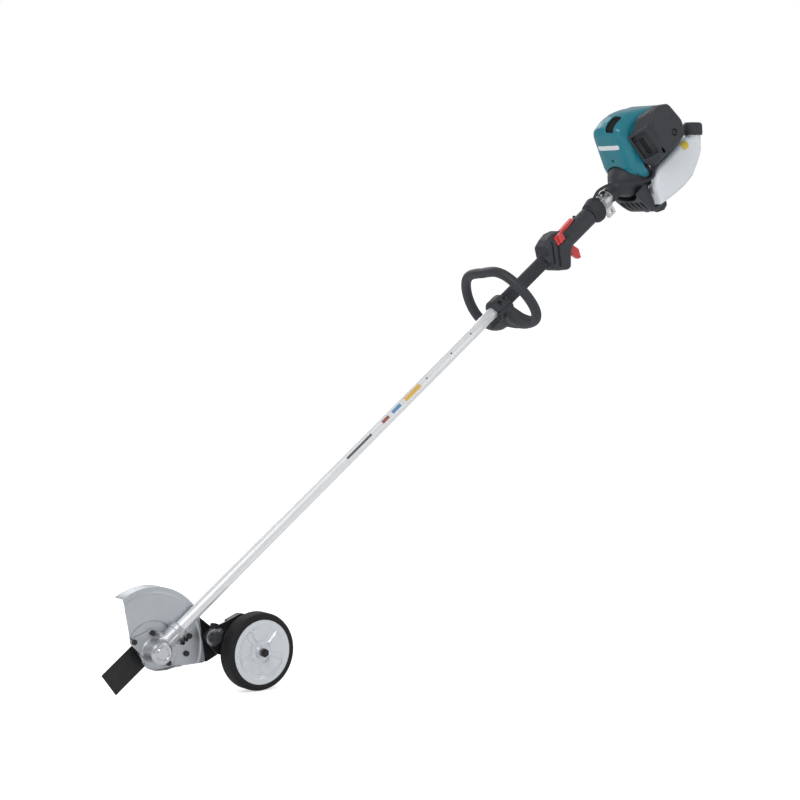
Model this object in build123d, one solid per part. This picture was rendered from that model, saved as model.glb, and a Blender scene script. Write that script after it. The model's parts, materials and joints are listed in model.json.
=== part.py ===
from build123d import *
import os
from math import sin, cos, tan, atan2, radians, degrees, pi, sqrt, hypot

# Petrol stick lawn edger, in millimetres.
# World frame: +X rearward to the operator and engine, +Y to the blade side, +Z up.
# The origin is on the arbor axis at the outer face of the blade nut.
# Shaft frame: +X up the tube axis to the engine, +Y to the blade side, +Z square to the
# tube on its upper side.  Its origin is where the arbor axis crosses the tube axis.
# Pieces are built in one frame or the other and registered by shaft_part or world_part.

# ---------------------------------------------------------------- driving dimensions
SHAFT_ANGLE = 36.95        # tube above the horizontal in the working posture
FREE_FACE = 51.0           # outer face of the blade nut from the tube plane
FIT = 0.05                 # radial clearance of located parts
TUBE_R, TUBE_WALL = 12.0, 1.6
TUBE_START, TUBE_END = 42.0, 1464.0
TUBE_INNER_R = TUBE_R - TUBE_WALL
TUBE_FIT_R = TUBE_R + FIT  # bore of anything clamped on the tube
DRIVE_R = 3.5
DRIVE_START, DRIVE_END = 22.0, 1478.0
# bolt radii by thread, and the radii of their clearance holes
M4_R, M5_R, M6_R, M8_R = 2.0, 2.5, 3.0, 4.0
M4_HOLE, M5_HOLE, M6_HOLE, M8_HOLE = [r + FIT for r in (M4_R, M5_R, M6_R, M8_R)]

X, Y, Z = (1, 0, 0), (0, 1, 0), (0, 0, 1)
MINUS_Y, MINUS_Z = (0, -1, 0), (0, 0, -1)
WORLD_FRAME = Location((0, -FREE_FACE, 0))
SHAFT_FRAME = WORLD_FRAME * Location((0, 0, 0), (0, -SHAFT_ANGLE, 0))
LEVEL = Location((0, 0, 0), (0, SHAFT_ANGLE, 0))     # world directions in the shaft frame
VERTICAL = (sin(radians(SHAFT_ANGLE)), 0, cos(radians(SHAFT_ANGLE)))

parts = {}


def shaft_part(name, shape):
    parts[name] = shape.moved(SHAFT_FRAME)


def world_part(name, shape):
    parts[name] = shape.moved(WORLD_FRAME)


# ---------------------------------------------------------------- shape helpers
def step(point, along, distance):
    return tuple(point[i] + along[i] * distance for i in range(3))


def cyl(radius, start, along, length):
    return Solid.make_cylinder(radius, length, Plane(origin=start, z_dir=along))


def cyl_x(radius, x, length, y=0, z=0):
    return cyl(radius, (x, y, z), X, length)


def cyl_y(radius, y, length, x=0, z=0):
    return cyl(radius, (x, y, z), Y, length)


def ring(outer, inner, start, along, length):
    return cyl(outer, start, along, length) - cyl(inner, step(start, along, -1), along, length + 2)


def drill_y(body, radius, centres, y, length):
    """Cut a bore along Y at each (x, z) centre."""
    for x, z in centres:
        body = body - cyl_y(radius, y, length, x, z)
    return body


def box(x0, x1, y0, y1, z0, z1):
    return Solid.make_box(x1 - x0, y1 - y0, z1 - z0, Plane(origin=(x0, y0, z0)))


def extruded(corners, reach):
    return Solid.extrude(Face(Wire.make_polygon(corners, close=True)), Vector(*reach))


def prism_x(outline, x0, x1):
    """Outline of (y, z) points."""
    return extruded([(x0, y, z) for y, z in outline], (x1 - x0, 0, 0))


def prism_y(outline, y0, y1):
    """Outline of (x, z) points."""
    return extruded([(x, y0, z) for x, z in outline], (0, y1 - y0, 0))


def prism_z(outline, z0, z1):
    """Outline of (x, y) points."""
    return extruded([(x, y, z0) for x, y in outline], (0, 0, z1 - z0))


def hexagon(across_flats, start, along, length):
    radius = across_flats / sqrt(3)
    corners = [(x, y, 0) for x, y in arc_points(radius, range(0, 360, 60))]
    return extruded(corners, (0, 0, length)).moved(Plane(origin=start, z_dir=along).location)


def loft(sections):
    return Solid.make_loft([Wire.make_polygon(s, close=True) for s in sections], ruled=True)


def turned(profile, start=(0, 0, 0), along=X):
    """Body of revolution; profile points are (radius, distance along the axis)."""
    outline = Wire.make_polygon([(r, 0, distance) for r, distance in profile], close=True)
    solid = Solid.revolve(Face(outline), 360, Axis.Z)
    return solid.moved(Plane(origin=start, z_dir=along).location)


def swept_rod(points, radius):
    path = Spline(*points)
    rod = sweep(Plane(origin=path @ 0, z_dir=path % 0) * Circle(radius), path=path)
    return rod.solids()[0]


def cap_screw(seat, along, length, radius=M5_R, head_radius=4.2, head_height=4.6):
    """Socket-head screw; seat is under the head, along points into the work."""
    back = tuple(-c for c in along)
    blank = cyl(head_radius, seat, back, head_height) + cyl(radius, seat, along, length)
    return blank - hexagon(4.0, step(seat, back, head_height), along, 2.4)


def arc_points(radius, angles, centre=(0, 0)):
    """Points on a circle; angles in degrees."""
    return [(centre[0] + radius * cos(radians(a)), centre[1] + radius * sin(radians(a)))
            for a in angles]


def inset(points, distance):
    """Polygon moved inward by a distance, vertex by vertex."""
    count = len(points)
    area = sum(points[i][0] * points[(i + 1) % count][1]
               - points[(i + 1) % count][0] * points[i][1] for i in range(count))
    sign = 1 if area > 0 else -1

    def inward_normal(start, end):
        dx, dy = end[0] - start[0], end[1] - start[1]
        length = hypot(dx, dy)
        return -dy / length * sign, dx / length * sign

    result = []
    for i in range(count):
        here = points[i]
        n0 = inward_normal(points[i - 1], here)
        n1 = inward_normal(here, points[(i + 1) % count])
        k = distance / (1 + n0[0] * n1[0] + n0[1] * n1[1])
        result.append((here[0] + (n0[0] + n1[0]) * k, here[1] + (n0[1] + n1[1]) * k))
    return result


def group(items):
    return Compound(children=list(items))


# ---------------------------------------------------------------- bevel gears and arbor
PINION_TEETH, GEAR_TEETH, GEAR_MODULE = 13, 19, 1.6
FACE_WIDTH, ADDENDUM, DEDENDUM = 6.0, 1.1, 1.5
PINION_R = PINION_TEETH * GEAR_MODULE / 2
GEAR_R = GEAR_TEETH * GEAR_MODULE / 2
CONE = hypot(PINION_R, GEAR_R)                 # cone distance
PINION_HUB_R = 5.0
ARBOR_R, ARBOR_OUTER_R, ARBOR_TAIL_R = 6.0, 5.0, 4.0
ARBOR_END_R = 4.2          # reduced free end of the arbor
ARBOR_STEP_Y = 34.0        # where the arbor steps down to its outer radius


def bevel_gear(teeth, cone_angle, height, phase):
    """Straight bevel gear, apex at the origin, axis +Z, flat ends."""
    tip = height * tan(cone_angle + ADDENDUM / CONE)
    pitch_r = height * tan(cone_angle)
    root = height * tan(cone_angle - DEDENDUM / CONE)
    pitch = 2 * pi / teeth
    # radius, angle from the tooth centre as a fraction of the pitch
    tooth = ((root, -0.26), (pitch_r, -0.18), (tip, -0.09),
             (tip, 0.09), (pitch_r, 0.18), (root, 0.26))
    outline = []
    for i in range(teeth):
        for radius, fraction in tooth:
            angle = phase + i * pitch + fraction * pitch
            outline.append((radius * cos(angle), radius * sin(angle)))
    shrink = (CONE - FACE_WIDTH) / CONE
    large = [(x, y, height) for x, y in outline]
    small = [(x * shrink, y * shrink, height * shrink) for x, y in outline]
    return loft([small, large])


# the pinion turns about X and the gear about Y; they mesh on the -Y side
pinion_plane = Plane(origin=(0, 0, 0), x_dir=MINUS_Y, z_dir=X)
gear_plane = Plane(origin=(0, 0, 0), x_dir=X, z_dir=MINUS_Y)
pinion = bevel_gear(PINION_TEETH, atan2(PINION_R, GEAR_R), GEAR_R, 0.0)
pinion = pinion.moved(pinion_plane.location)
pinion = pinion + cyl_x(PINION_HUB_R, GEAR_R, 41.0 - GEAR_R)
pinion = pinion - cyl_x(DRIVE_R + FIT, 20.0, 30.0)
shaft_part("input_pinion", pinion)

gear = bevel_gear(GEAR_TEETH, atan2(GEAR_R, PINION_R), PINION_R, pi / GEAR_TEETH)
gear = gear.moved(gear_plane.location)
gear = gear + cyl(10.0, (0, -PINION_R, 0), MINUS_Y, 4.0)
gear = gear - cyl(ARBOR_R + FIT, (0, 0, 0), MINUS_Y, 30.0)
shaft_part("output_gear", gear)

shaft_part("output_shaft", cyl_y(ARBOR_TAIL_R, -21.0, 6.0)
           + cyl_y(ARBOR_R, -15.0, ARBOR_STEP_Y + 15.0)
           + cyl_y(ARBOR_OUTER_R, ARBOR_STEP_Y, FREE_FACE - ARBOR_STEP_Y)
           + cyl_y(ARBOR_END_R, FREE_FACE, 6.0))

# ---------------------------------------------------------------- gear case
INPUT_BEARING_R, OUTPUT_BEARING_R, TAIL_BEARING_R = 12.0, 14.0, 9.5
CASE_CLAMP_SCREWS = [(48.5, -20.5), (58.0, -20.5)]             # x, z in the shaft frame
SHIELD_BOLTS = [(-1.5, 34.5), (33.5, -27.0), (-40.5, 21.0)]    # x, z from the arbor, world
SHIELD_BOSS_R = 19.0
PLUG_X = 26.0


def bearing(start, along, bore, outer_r, width):
    """Ball bearing: outer race with end lips, inner race, seven balls."""
    middle = (bore + outer_r) / 2
    race_bore = middle + min((outer_r - bore) / 2 - 1.6, width / 2 - 0.7) + 0.05
    inner_r = bore + 1.0
    outer = ring(outer_r, race_bore, start, along, width)
    for lip_start in (start, step(start, along, width - 0.4)):
        outer = outer + ring(outer_r, bore + 1.1, lip_start, along, 0.4)
    inner = ring(inner_r, bore, start, along, width)
    circle_r = (race_bore + inner_r) / 2
    ball_r = min((race_bore - inner_r) / 2 - 0.05, width / 2 - 0.5)
    mid_plane = Plane(origin=step(start, along, width / 2), z_dir=along)
    balls = []
    for i in range(7):
        angle = 2 * pi * i / 7
        at = mid_plane.from_local_coords((circle_r * cos(angle), circle_r * sin(angle), 0))
        balls.append(Solid.make_sphere(ball_r).moved(Location(at)))
    return [outer, inner] + balls


shaft_part("gear_case_bearings", group(
    bearing((22.6, 0, 0), X, PINION_HUB_R + FIT, INPUT_BEARING_R, 8.0)
    + bearing((31.0, 0, 0), X, PINION_HUB_R + FIT, INPUT_BEARING_R, 8.0)
    + bearing((0, 12.4, 0), Y, ARBOR_R + FIT, OUTPUT_BEARING_R, 8.0)
    + bearing((0, -20.9, 0), Y, ARBOR_TAIL_R + FIT, TAIL_BEARING_R, 5.8)))

# flange carrying the shield: x, z in the working posture
FLANGE = [(-46, 27), (-48, 19), (-43, 13), (-12, -16), (26, -32), (34, -33), (40, -28),
          (39, -20), (22, 18), (6, 38), (-2, 42), (-9, 38)]
case = cyl_y(22.0, -22.0, 37.5) + cyl_y(SHIELD_BOSS_R, 15.5, 8.5)
case = case + prism_y(FLANGE, 11.5, 15.5).moved(LEVEL)
case = case + cyl_x(16.5, 0, 60.0) + cyl_x(18.0, 54, 10.0)
case = case + box(44, 63, -9.5, 9.5, -26, -10)                 # clamp lug under the tube
case = case + cyl(7.0, (PLUG_X, 0, 10), Z, 9.5)
# flats on the blade side, clear of the shield
case = case - box(22.5, 70, 13.6, 30, -30, 30)
case = case - (box(5, 30, 15.5, 30, -30, 30) - cyl_y(SHIELD_BOSS_R, 10, 30))
# gear chamber, bearing seats, tube socket and clamp slit
case = case - cyl_y(18.4, -23.0, 30.5)
case = case - cyl_y(OUTPUT_BEARING_R + FIT, 7.0, 13.4) - cyl_y(8.2, 16.0, 9.0)
case = case - cyl_x(INPUT_BEARING_R + FIT, 8, 60.0)
case = case - box(43, 70, -1.0, 1.0, -27, -8)
case = case - cyl(M6_HOLE, (PLUG_X, 0, 9), Z, 12.0)
case = drill_y(case, M5_HOLE, CASE_CLAMP_SCREWS, -12, 20.0)
for x, z in SHIELD_BOLTS:
    case = case - cyl_y(M6_HOLE, 8, 10, x, z).moved(LEVEL)
shaft_part("gear_case", case)

CAP_PROFILE = [(0, 0), (18.0, 0), (21.5, 1.8), (22.0, 4.0), (18.35, 4.0), (18.35, 11.0),
               (9.55, 11.0), (9.55, 5.0), (0, 5.0)]
shaft_part("gear_case_cap", turned(CAP_PROFILE, (0, -26.0, 0), Y))
shaft_part("grease_plug", cyl(M6_R, (PLUG_X, 0, 12.3), Z, 7.2)
           + hexagon(10.0, (PLUG_X, 0, 19.5), Z, 4.0) + cyl(2.0, (PLUG_X, 0, 23.5), Z, 3.5))

# ---------------------------------------------------------------- blade, washers and nut
BLADE_L, BLADE_W, BLADE_T = 200.0, 50.0, 3.0
BLADE_Y = 36.5             # inner face of the blade
OUTER_WASHER_T = 3.5
OUTER_WASHER_Y = BLADE_Y + BLADE_T
NUT_Y = OUTER_WASHER_Y + OUTER_WASHER_T
ARBOR_HOLE = ARBOR_OUTER_R + FIT
shaft_part("blade_washers", group([
    ring(20.0, ARBOR_R + FIT, (0, 31.0, 0), Y, 3.0)
    + ring(20.0, ARBOR_HOLE, (0, ARBOR_STEP_Y, 0), Y, BLADE_Y - ARBOR_STEP_Y),
    ring(18.0, ARBOR_HOLE, (0, OUTER_WASHER_Y, 0), Y, OUTER_WASHER_T)]))
shaft_part("edger_blade", box(-BLADE_L / 2, BLADE_L / 2, BLADE_Y, BLADE_Y + BLADE_T,
                              -BLADE_W / 2, BLADE_W / 2) - cyl_y(ARBOR_HOLE, 30, 20))
nut = hexagon(17.0, (0, NUT_Y, 0), Y, 6.0) + cyl_y(8.0, NUT_Y + 6.0, 2.0)
shaft_part("blade_nut", nut - cyl_y(ARBOR_HOLE, 40, 20))

# ---------------------------------------------------------------- shield (world frame)
SHIELD_R, SHIELD_T = 120.0, 2.0
RIM_START, RIM_END = 120.7, 27.2                               # degrees above +X
BRACKET_BOLTS = [(67.0, 27.0), (81.0, 18.5), (74.0, -14.0)]    # x, z
# x, z of the edge from the rear end of the rim, underneath, to its front end
LOWER_EDGE = [(105.0, 50.5), (117.0, -36.4), (46, -36.8), (27.6, -40), (5, -39.3), (-10, -33),
              (-19, -22), (-26, -3), (-37, 12), (-47, 27)]
LIP_INNER = [(-17.2, -21), (-8.9, -31.3), (5.3, -37.2), (27.8, -38), (46.2, -34.8), (60, -34.8)]

rim_angles = [RIM_START + (RIM_END - RIM_START) * i / 40 for i in range(41)]
rim = arc_points(SHIELD_R, rim_angles)
rim_inner = arc_points(SHIELD_R - SHIELD_T, rim_angles)
lip = [(60, -36.8)] + LOWER_EDGE[2:7] + LIP_INNER
shield = prism_y(rim + LOWER_EDGE, 14.0, 16.0)
shield = shield + prism_y(rim + rim_inner[::-1], 14.0, 46.0)
shield = shield + prism_y(lip, 8.0, 16.0)
# round dish about the arbor, pressed toward the blade
dish_outer = cyl_y(57.0, 15.5, 2.0)
dish_inner = cyl_y(55.0, 13.0, 2.5)
within = prism_y(rim + LOWER_EDGE, 10.0, 20.0)
shield = (shield - (dish_inner & within)) + (dish_outer & within)
shield = shield + prism_y(lip, 8.0, 17.5)
shield = shield - cyl_y(SHIELD_BOSS_R + 0.3, 10, 10)
shield = drill_y(shield, M6_HOLE, SHIELD_BOLTS + BRACKET_BOLTS, 10, 10)
world_part("debris_shield", shield)


def shield_bolt(x, z, seat, length):
    return hexagon(10.0, (x, seat, z), MINUS_Y, 4.0) + cyl_y(M6_R, seat, length, x, z)


world_part("shield_bolts", group([shield_bolt(x, z, 11.5, 11.0) for x, z in SHIELD_BOLTS]
                                 + [shield_bolt(x, z, 14.0, 10.0) for x, z in BRACKET_BOLTS]))

# ---------------------------------------------------------------- height arm (world frame)
PIVOT = (120.0, 15.0)      # height-arm pivot, x and z from the arbor
LOCK = (134.0, 24.0)       # height lock bolt
WHEEL = (203.0, -17.0)     # wheel centre
WHEEL_CENTRE = (WHEEL[0], 0, WHEEL[1])
AXLE_R = 5.0
SLOT_HALF_W = 3.3

# all outlines here are x, z
BRACKET = [(59, 36), (84, 45), (104, 53), (139, 25), (146, -25), (121, -36), (100, -31),
           (64, -24), (59, 5)]
bracket = prism_y(BRACKET, 16.0, 19.0)
bracket = bracket + cyl_y(9.5, -7.9, 24.5, *PIVOT)
sector = arc_points(27, range(-24, 106, 10), PIVOT)
bracket = bracket + prism_y([(PIVOT[0] - 6, PIVOT[1] - 2)] + sector
                            + [(PIVOT[0] - 7, PIVOT[1] + 6)], -7.9, -4.9)
# arc slot for the lock bolt
lock_r = hypot(LOCK[0] - PIVOT[0], LOCK[1] - PIVOT[1])
lock_angle = degrees(atan2(LOCK[1] - PIVOT[1], LOCK[0] - PIVOT[0]))
slot_angles = [lock_angle - 24 + i * 7.3 for i in range(11)]
bracket = bracket - prism_y(arc_points(lock_r + SLOT_HALF_W, slot_angles, PIVOT)
                            + arc_points(lock_r - SLOT_HALF_W, slot_angles, PIVOT)[::-1], -10, -3)
bracket = bracket - cyl_y(M8_HOLE, -10, 40, *PIVOT)
bracket = drill_y(bracket, M6_HOLE, BRACKET_BOLTS, 10, 12)
world_part("wheel_bracket", bracket)
world_part("pivot_bolt", hexagon(13.0, (PIVOT[0], 19.0, PIVOT[1]), Y, 5.0)
           + cyl_y(M8_R, -20.0, 39.0, *PIVOT))

ARM = [(103, 14), (105, 24), (112, 31), (122, 34.4), (153.3, 44.2), (180.9, 54.5), (196, 51),
       (209, 32), (216, -4), (215, -18), (208, -28), (196, -32), (160, -27), (127.4, -17.8),
       (112, -1), (105, 7)]
ARM_FLANGE = [(152, 41), (153.3, 44.2), (180.9, 54.5), (196, 51), (209, 32), (206, 31),
              (194, 48), (181, 51.2)]
arm = prism_y(ARM, -12.0, -8.0) + prism_y(ARM_FLANGE, -8.0, 2.0)
for radius, centre in ((M8_HOLE, PIVOT), (M6_HOLE, LOCK), (AXLE_R + FIT, WHEEL)):
    arm = arm - cyl_y(radius, -20, 20, *centre)
world_part("wheel_arm", arm)

plate_outline = arc_points(16.5, range(65, 330, 12), PIVOT)
plate_outline = plate_outline + [(139.5, 17.5), (141.5, 24), (138, 30.5), (132, 32)]
plate = prism_y(plate_outline, -14.0, -12.0)
plate = plate - cyl_y(M8_HOLE, -20, 20, *PIVOT) - cyl_y(M6_HOLE, -20, 20, *LOCK)
world_part("pivot_plate", plate)

knob = cyl_y(11.0, -24.0, 9.9, *PIVOT)
knob = drill_y(knob, 3.2, arc_points(12.4, range(20, 380, 60), PIVOT), -25, 12)
world_part("depth_clamp_knob", knob - cyl_y(M8_HOLE, -21, 10, *PIVOT))
world_part("depth_lock_bolt", cyl_y(4.4, -17.0, 3.0, *LOCK) + cyl_y(M6_R, -14.0, 11.0, *LOCK)
           + hexagon(8.6, (LOCK[0], -4.8, LOCK[1]), Y, 3.4))

# ---------------------------------------------------------------- wheel (world frame)
HUB_R, TYRE_R = 62.0, 75.0
HUB_PROFILE = [(5.1, -56), (11, -56), (13, -47.5), (20, -46), (46, -48.5), (52, -52.0),
               (HUB_R, -52.5), (HUB_R, -17.5), (58.5, -17.5), (58.5, -40), (46, -44),
               (20, -42.5), (13, -41), (12, -13.0), (5.1, -13.0)]
TYRE_PROFILE = [(HUB_R, -52.4), (63.5, -53.2), (68, -53.5), (73, -51), (TYRE_R, -46),
                (TYRE_R, -23), (73, -18.5), (68, -16), (63.5, -16.3), (HUB_R, -17.6)]
world_part("wheel_axle", hexagon(15.0, step(WHEEL_CENTRE, Y, -8.0), Y, 5.5)
           + cyl_y(AXLE_R, -67.0, 59.0, *WHEEL))
world_part("axle_nut", hexagon(15.0, step(WHEEL_CENTRE, Y, -63.5), Y, 6.5)
           - cyl_y(AXLE_R + FIT, -70, 20, *WHEEL))
world_part("wheel_hub", turned(HUB_PROFILE, WHEEL_CENTRE, Y))
world_part("wheel_tyre", turned(TYRE_PROFILE, WHEEL_CENTRE, Y))

# ---------------------------------------------------------------- tube and drive shaft
BUSH_STARTS = (160, 430, 700, 970, 1240, 1420)
shaft_part("shaft_tube", ring(TUBE_R, TUBE_INNER_R, (TUBE_START, 0, 0), X,
                              TUBE_END - TUBE_START))
shaft_part("drive_shaft", cyl_x(DRIVE_R, DRIVE_START, DRIVE_END - DRIVE_START))
shaft_part("drive_shaft_bushes", group([ring(TUBE_INNER_R, DRIVE_R + 0.1, (x, 0, 0), X, 24.0)
                                        for x in BUSH_STARTS]))

# ---------------------------------------------------------------- loop handle
LOOP_X, LOOP_DROP = 1048.4, -8.1
LOOP_ROLL, LOOP_PITCH = radians(-6.4), radians(4.0)
LOOP_BAR_R = 10.5
LOOP_BOLTS = [(1038.0, 16.8), (1038.0, -16.8), (1054.0, 16.8), (1054.0, -16.8)]    # x, y
# centreline of one half of the closed D: sideways, upward in the plane of the loop
HALF_LOOP = [(18.5, -27), (38.2, -39.4), (63, -41.7), (85.7, -34.2), (99.7, -17.6),
             (103, 5.6), (97.3, 31.5), (84.7, 55.9), (67.1, 74.9), (46.2, 84.8), (23.6, 87),
             (0, 86.5)]
SADDLE = [(-27, -34), (-30, -28), (-24, -4), (-19, -0.2), (19, -0.2), (24, -4), (30, -28),
          (27, -34), (12, -40), (-12, -40)]                    # y, z, under the tube
LOOP_CLAMP = [(-23, 0), (-22, 7), (-15, 17), (-6, 21), (6, 21), (15, 17), (22, 7), (23, 0)]

rolled_up = Vector(0, -sin(LOOP_ROLL), cos(LOOP_ROLL))
loop_side = Vector(0, cos(LOOP_ROLL), sin(LOOP_ROLL))
loop_up = rolled_up * cos(LOOP_PITCH) + Vector(1, 0, 0) * sin(LOOP_PITCH)
loop_origin = Vector(LOOP_X, 0, 0) + rolled_up * LOOP_DROP
whole_loop = HALF_LOOP + [(-side, up) for side, up in HALF_LOOP[-2::-1]]
loop_path = [tuple(loop_origin + loop_side * side + loop_up * up) for side, up in whole_loop]
loop = swept_rod(loop_path, LOOP_BAR_R) + prism_x(SADDLE, 1030, 1062)
loop = loop + box(994, 1032, -9, 9, -24, -9)
loop = loop - cyl_x(TUBE_FIT_R, 980, 100)
for x, y in LOOP_BOLTS:
    loop = loop - cyl(M5_HOLE, (x, y, -14), Z, 20)
shaft_part("loop_handle", loop)

clamp = prism_x(LOOP_CLAMP, 1028, 1062)
clamp = clamp - cyl_x(TUBE_FIT_R, 1000, 100)
for x, y in LOOP_BOLTS:
    clamp = clamp - cyl(M5_HOLE, (x, y, -4), Z, 30) - cyl(4.4, (x, y, 9), Z, 20)
shaft_part("loop_handle_clamp", clamp)
shaft_part("grip_sleeve", ring(15.0, TUBE_FIT_R, (1063, 0, 0), X, 131.5))

# ---------------------------------------------------------------- throttle grip
GRIP_R = 20.0
GRIP_SCREWS = [(1212.0, 20.0), (1212.0, -24.0), (1246.0, -40.0), (1330.0, -15.9),
               (1330.0, 15.9)]                                 # x, z
TRIGGER_PIN, LOCKOFF_PIN, LEVER_PIN_R = (1268.0, -18.5), (1269.5, 17.0), 1.5
GRIP_SIDE = [(1195, -20.6), (1197, 8), (1205.6, 30.7), (1220, 38), (1238, 41.0), (1258.6, 33.0),
             (1264.5, 22), (1264.5, -38.9), (1252, -51.9), (1226, -45), (1204.6, -31)]   # x, z
GRIP_SECTION = [(-23, -46), (-17, -53), (17, -53), (23, -46), (23, 26), (14, 43), (-14, 43),
                (-23, 26)]                                     # y, z
grip = prism_y(GRIP_SIDE, -23, 23)
grip = grip & prism_x(GRIP_SECTION, 1190, 1270)
grip = grip + cyl_x(GRIP_R, 1262, 92.0)
grip = grip - cyl_x(TUBE_FIT_R, 1180, 200)
grip = grip - box(1262, 1302, -6.5, 6.5, -41, -12.2)           # trigger slot
grip = grip - box(1262, 1317, -5.5, 5.5, 12.2, 34)             # lock-off slot
grip = grip - box(1232, 1263, -24, -17.5, 11, 35)              # switch pocket
grip = grip - cyl_x(3.0, 1206, 60, -10, 20)
for x, z in GRIP_SCREWS:
    grip = grip - cyl_y(M4_HOLE, -11, 26, x, z) - cyl_y(3.8, 12, 18, x, z)
grip = drill_y(grip, LEVER_PIN_R + FIT, (TRIGGER_PIN, LOCKOFF_PIN), -9, 18)
shaft_part("throttle_housing_left", grip & box(1180, 1370, -40, 0, -60, 60))
shaft_part("throttle_housing_right", grip & box(1180, 1370, 0, 40, -60, 60))

TRIGGER = [(1265, -14.5), (1272, -13.5), (1279, -20), (1287, -35.8), (1281.9, -54.4),
           (1274.5, -53), (1266.5, -37), (1264.9, -22)]        # x, z
LOCKOFF = [(1265.5, 13.5), (1265.5, 20), (1269, 25.4), (1310.6, 27.4), (1312.5, 21.5),
           (1292, 18.5), (1277, 14)]                           # x, z
ROCKER = [(1239, 14), (1241, 31), (1244, 33), (1250, 33), (1247, 14)]              # x, z
shaft_part("throttle_trigger",
           prism_y(TRIGGER, -5, 5) + cyl_y(LEVER_PIN_R, -8.5, 17.0, *TRIGGER_PIN))
shaft_part("lockoff_lever",
           prism_y(LOCKOFF, -4.5, 4.5) + cyl_y(LEVER_PIN_R, -8.5, 17.0, *LOCKOFF_PIN))
shaft_part("stop_switch",
           box(1233, 1257.5, -21.5, -17.7, 13, 33) + prism_y(ROCKER, -25, -21.5))

# ---------------------------------------------------------------- damper and hanger band
DAMPER_R = 29.5
DAMPER_TILT = 17.0         # the damper leans so its top is further back
HANGER_SCREW = (1411, 20.5)                                    # x, z
DAMPER_PROFILE = [(0, -20), (20.5, -20), (22, -15), (25, -10), (DAMPER_R - 1.0, -2),
                  (DAMPER_R, 2), (28, 7), (21, 12), (0, 12)]
damper = turned(DAMPER_PROFILE)
damper = damper.moved(Location((0, 0, 0), (0, DAMPER_TILT, 0))).moved(Location((1375, 0, 0)))
damper = damper + cyl_x(20.5, 1354.5, 12.0)
damper = damper - box(1330, 1354.5, -50, 50, -50, 50) - cyl_x(TUBE_FIT_R, 1340, 80)
damper = damper - cyl(4.2, (1376, -6.5, 22.5), (16.0, -4.0, 7.0), 40.0)    # cable hole
shaft_part("damper_collar", damper)

band = ring(17.5, TUBE_FIT_R, (1398, 0, 0), X, 22.0)
band = band + box(1400, 1422, -4, 4, -38, -13)                 # eye plate below
band = band - cyl_x(TUBE_FIT_R, 1390, 40)
band = band - cyl_y(5.0, -10, 20, HANGER_SCREW[0], -28)
band = band - box(1390, 1430, -1.0, 1.0, 12, 20)               # split on top, with two ears
band = band + box(1403, 1419, -7, -1.2, 15, 25) + box(1403, 1419, 1.2, 7, 15, 25)
shaft_part("hanger_band", band - cyl_y(M5_HOLE, -10, 20, *HANGER_SCREW))

# ---------------------------------------------------------------- cap screws and cable
screws = [cap_screw((x, -9.5, z), Y, 17.0) for x, z in CASE_CLAMP_SCREWS]
screws += [cap_screw((x, y, 9.0), MINUS_Z, 20.0) for x, y in LOOP_BOLTS]
screws += [cap_screw((HANGER_SCREW[0], -7.0, HANGER_SCREW[1]), Y, 13.0)]
screws += [cap_screw((x, 12.0, z), MINUS_Y, 22.0, M4_R, 3.6, 3.6) for x, z in GRIP_SCREWS]
shaft_part("cap_screws", group(screws))

# x, y, z of the centreline from the damper to the carburettor side
CABLE_PATH = [(1384, -9, 26.5), (1400, -13, 33.5), (1420, -24, 33), (1440, -37, 27),
              (1458, -48, 14), (1474, -54, 2), (1490, -59, -7), (1506, -61.5, -9.5),
              (1518, -60.5, -5), (1526, -55.5, 8), (1531, -51, 24), (1534, -47.5, 37),
              (1537, -45, 47.4)]
shaft_part("throttle_cable", swept_rod(CABLE_PATH, 3.2))

# ---------------------------------------------------------------- clutch and flywheel
HOUSING_R = 46.0
SHOE_PINS = list(zip((0, 180), arc_points(19, (0, 180))))      # angle, (y, z)
CRANK_R = 6.0
HOUSING_PROFILE = [(TUBE_FIT_R, 1427), (17, 1427), (17, 1440), (21, 1448), (27, 1456),
                   (33, 1465), (37, 1474), (38.5, 1482), (HOUSING_R, 1489), (HOUSING_R, 1527),
                   (43, 1527), (43, 1491), (35.8, 1484.5), (33.2, 1473.5), (14, 1466),
                   (14, 1464.2), (TUBE_FIT_R, 1464.2)]
DRUM_PROFILE = [(DRIVE_R + FIT, 1468), (9, 1468), (9, 1476), (30, 1476), (30, 1498),
                (27.5, 1498), (27.5, 1479), (DRIVE_R + FIT, 1479)]
FLYWHEEL_PROFILE = [(CRANK_R + FIT, 1498), (11, 1498), (11, 1501), (41, 1501), (41, 1512),
                    (36, 1512), (36, 1508), (11, 1508), (11, 1522), (CRANK_R + FIT, 1522)]
shaft_part("clutch_housing", turned(HOUSING_PROFILE))
shaft_part("clutch_drum", turned(DRUM_PROFILE))
shoes = []
for angle, pin in SHOE_PINS:
    shoe = prism_x(arc_points(26.6, range(angle - 72, angle + 73, 12))
                   + arc_points(12.0, range(angle + 60, angle - 61, -20)), 1482.0, 1496.0)
    shoes.append(shoe - cyl_x(M6_HOLE, 1470, 40, *pin))
shaft_part("clutch_shoes", group(shoes))

flywheel = turned(FLYWHEEL_PROFILE)
for angle, pin in SHOE_PINS:
    flywheel = flywheel + cyl_x(M6_R, 1480.5, 22, *pin)
for i in range(12):
    vane = box(1507.5, 1520, -1.2, 1.2, 14, 40)
    flywheel = flywheel + vane.moved(Location((0, 0, 0), (30 * i, 0, 0)))
shaft_part("flywheel", flywheel)

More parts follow.
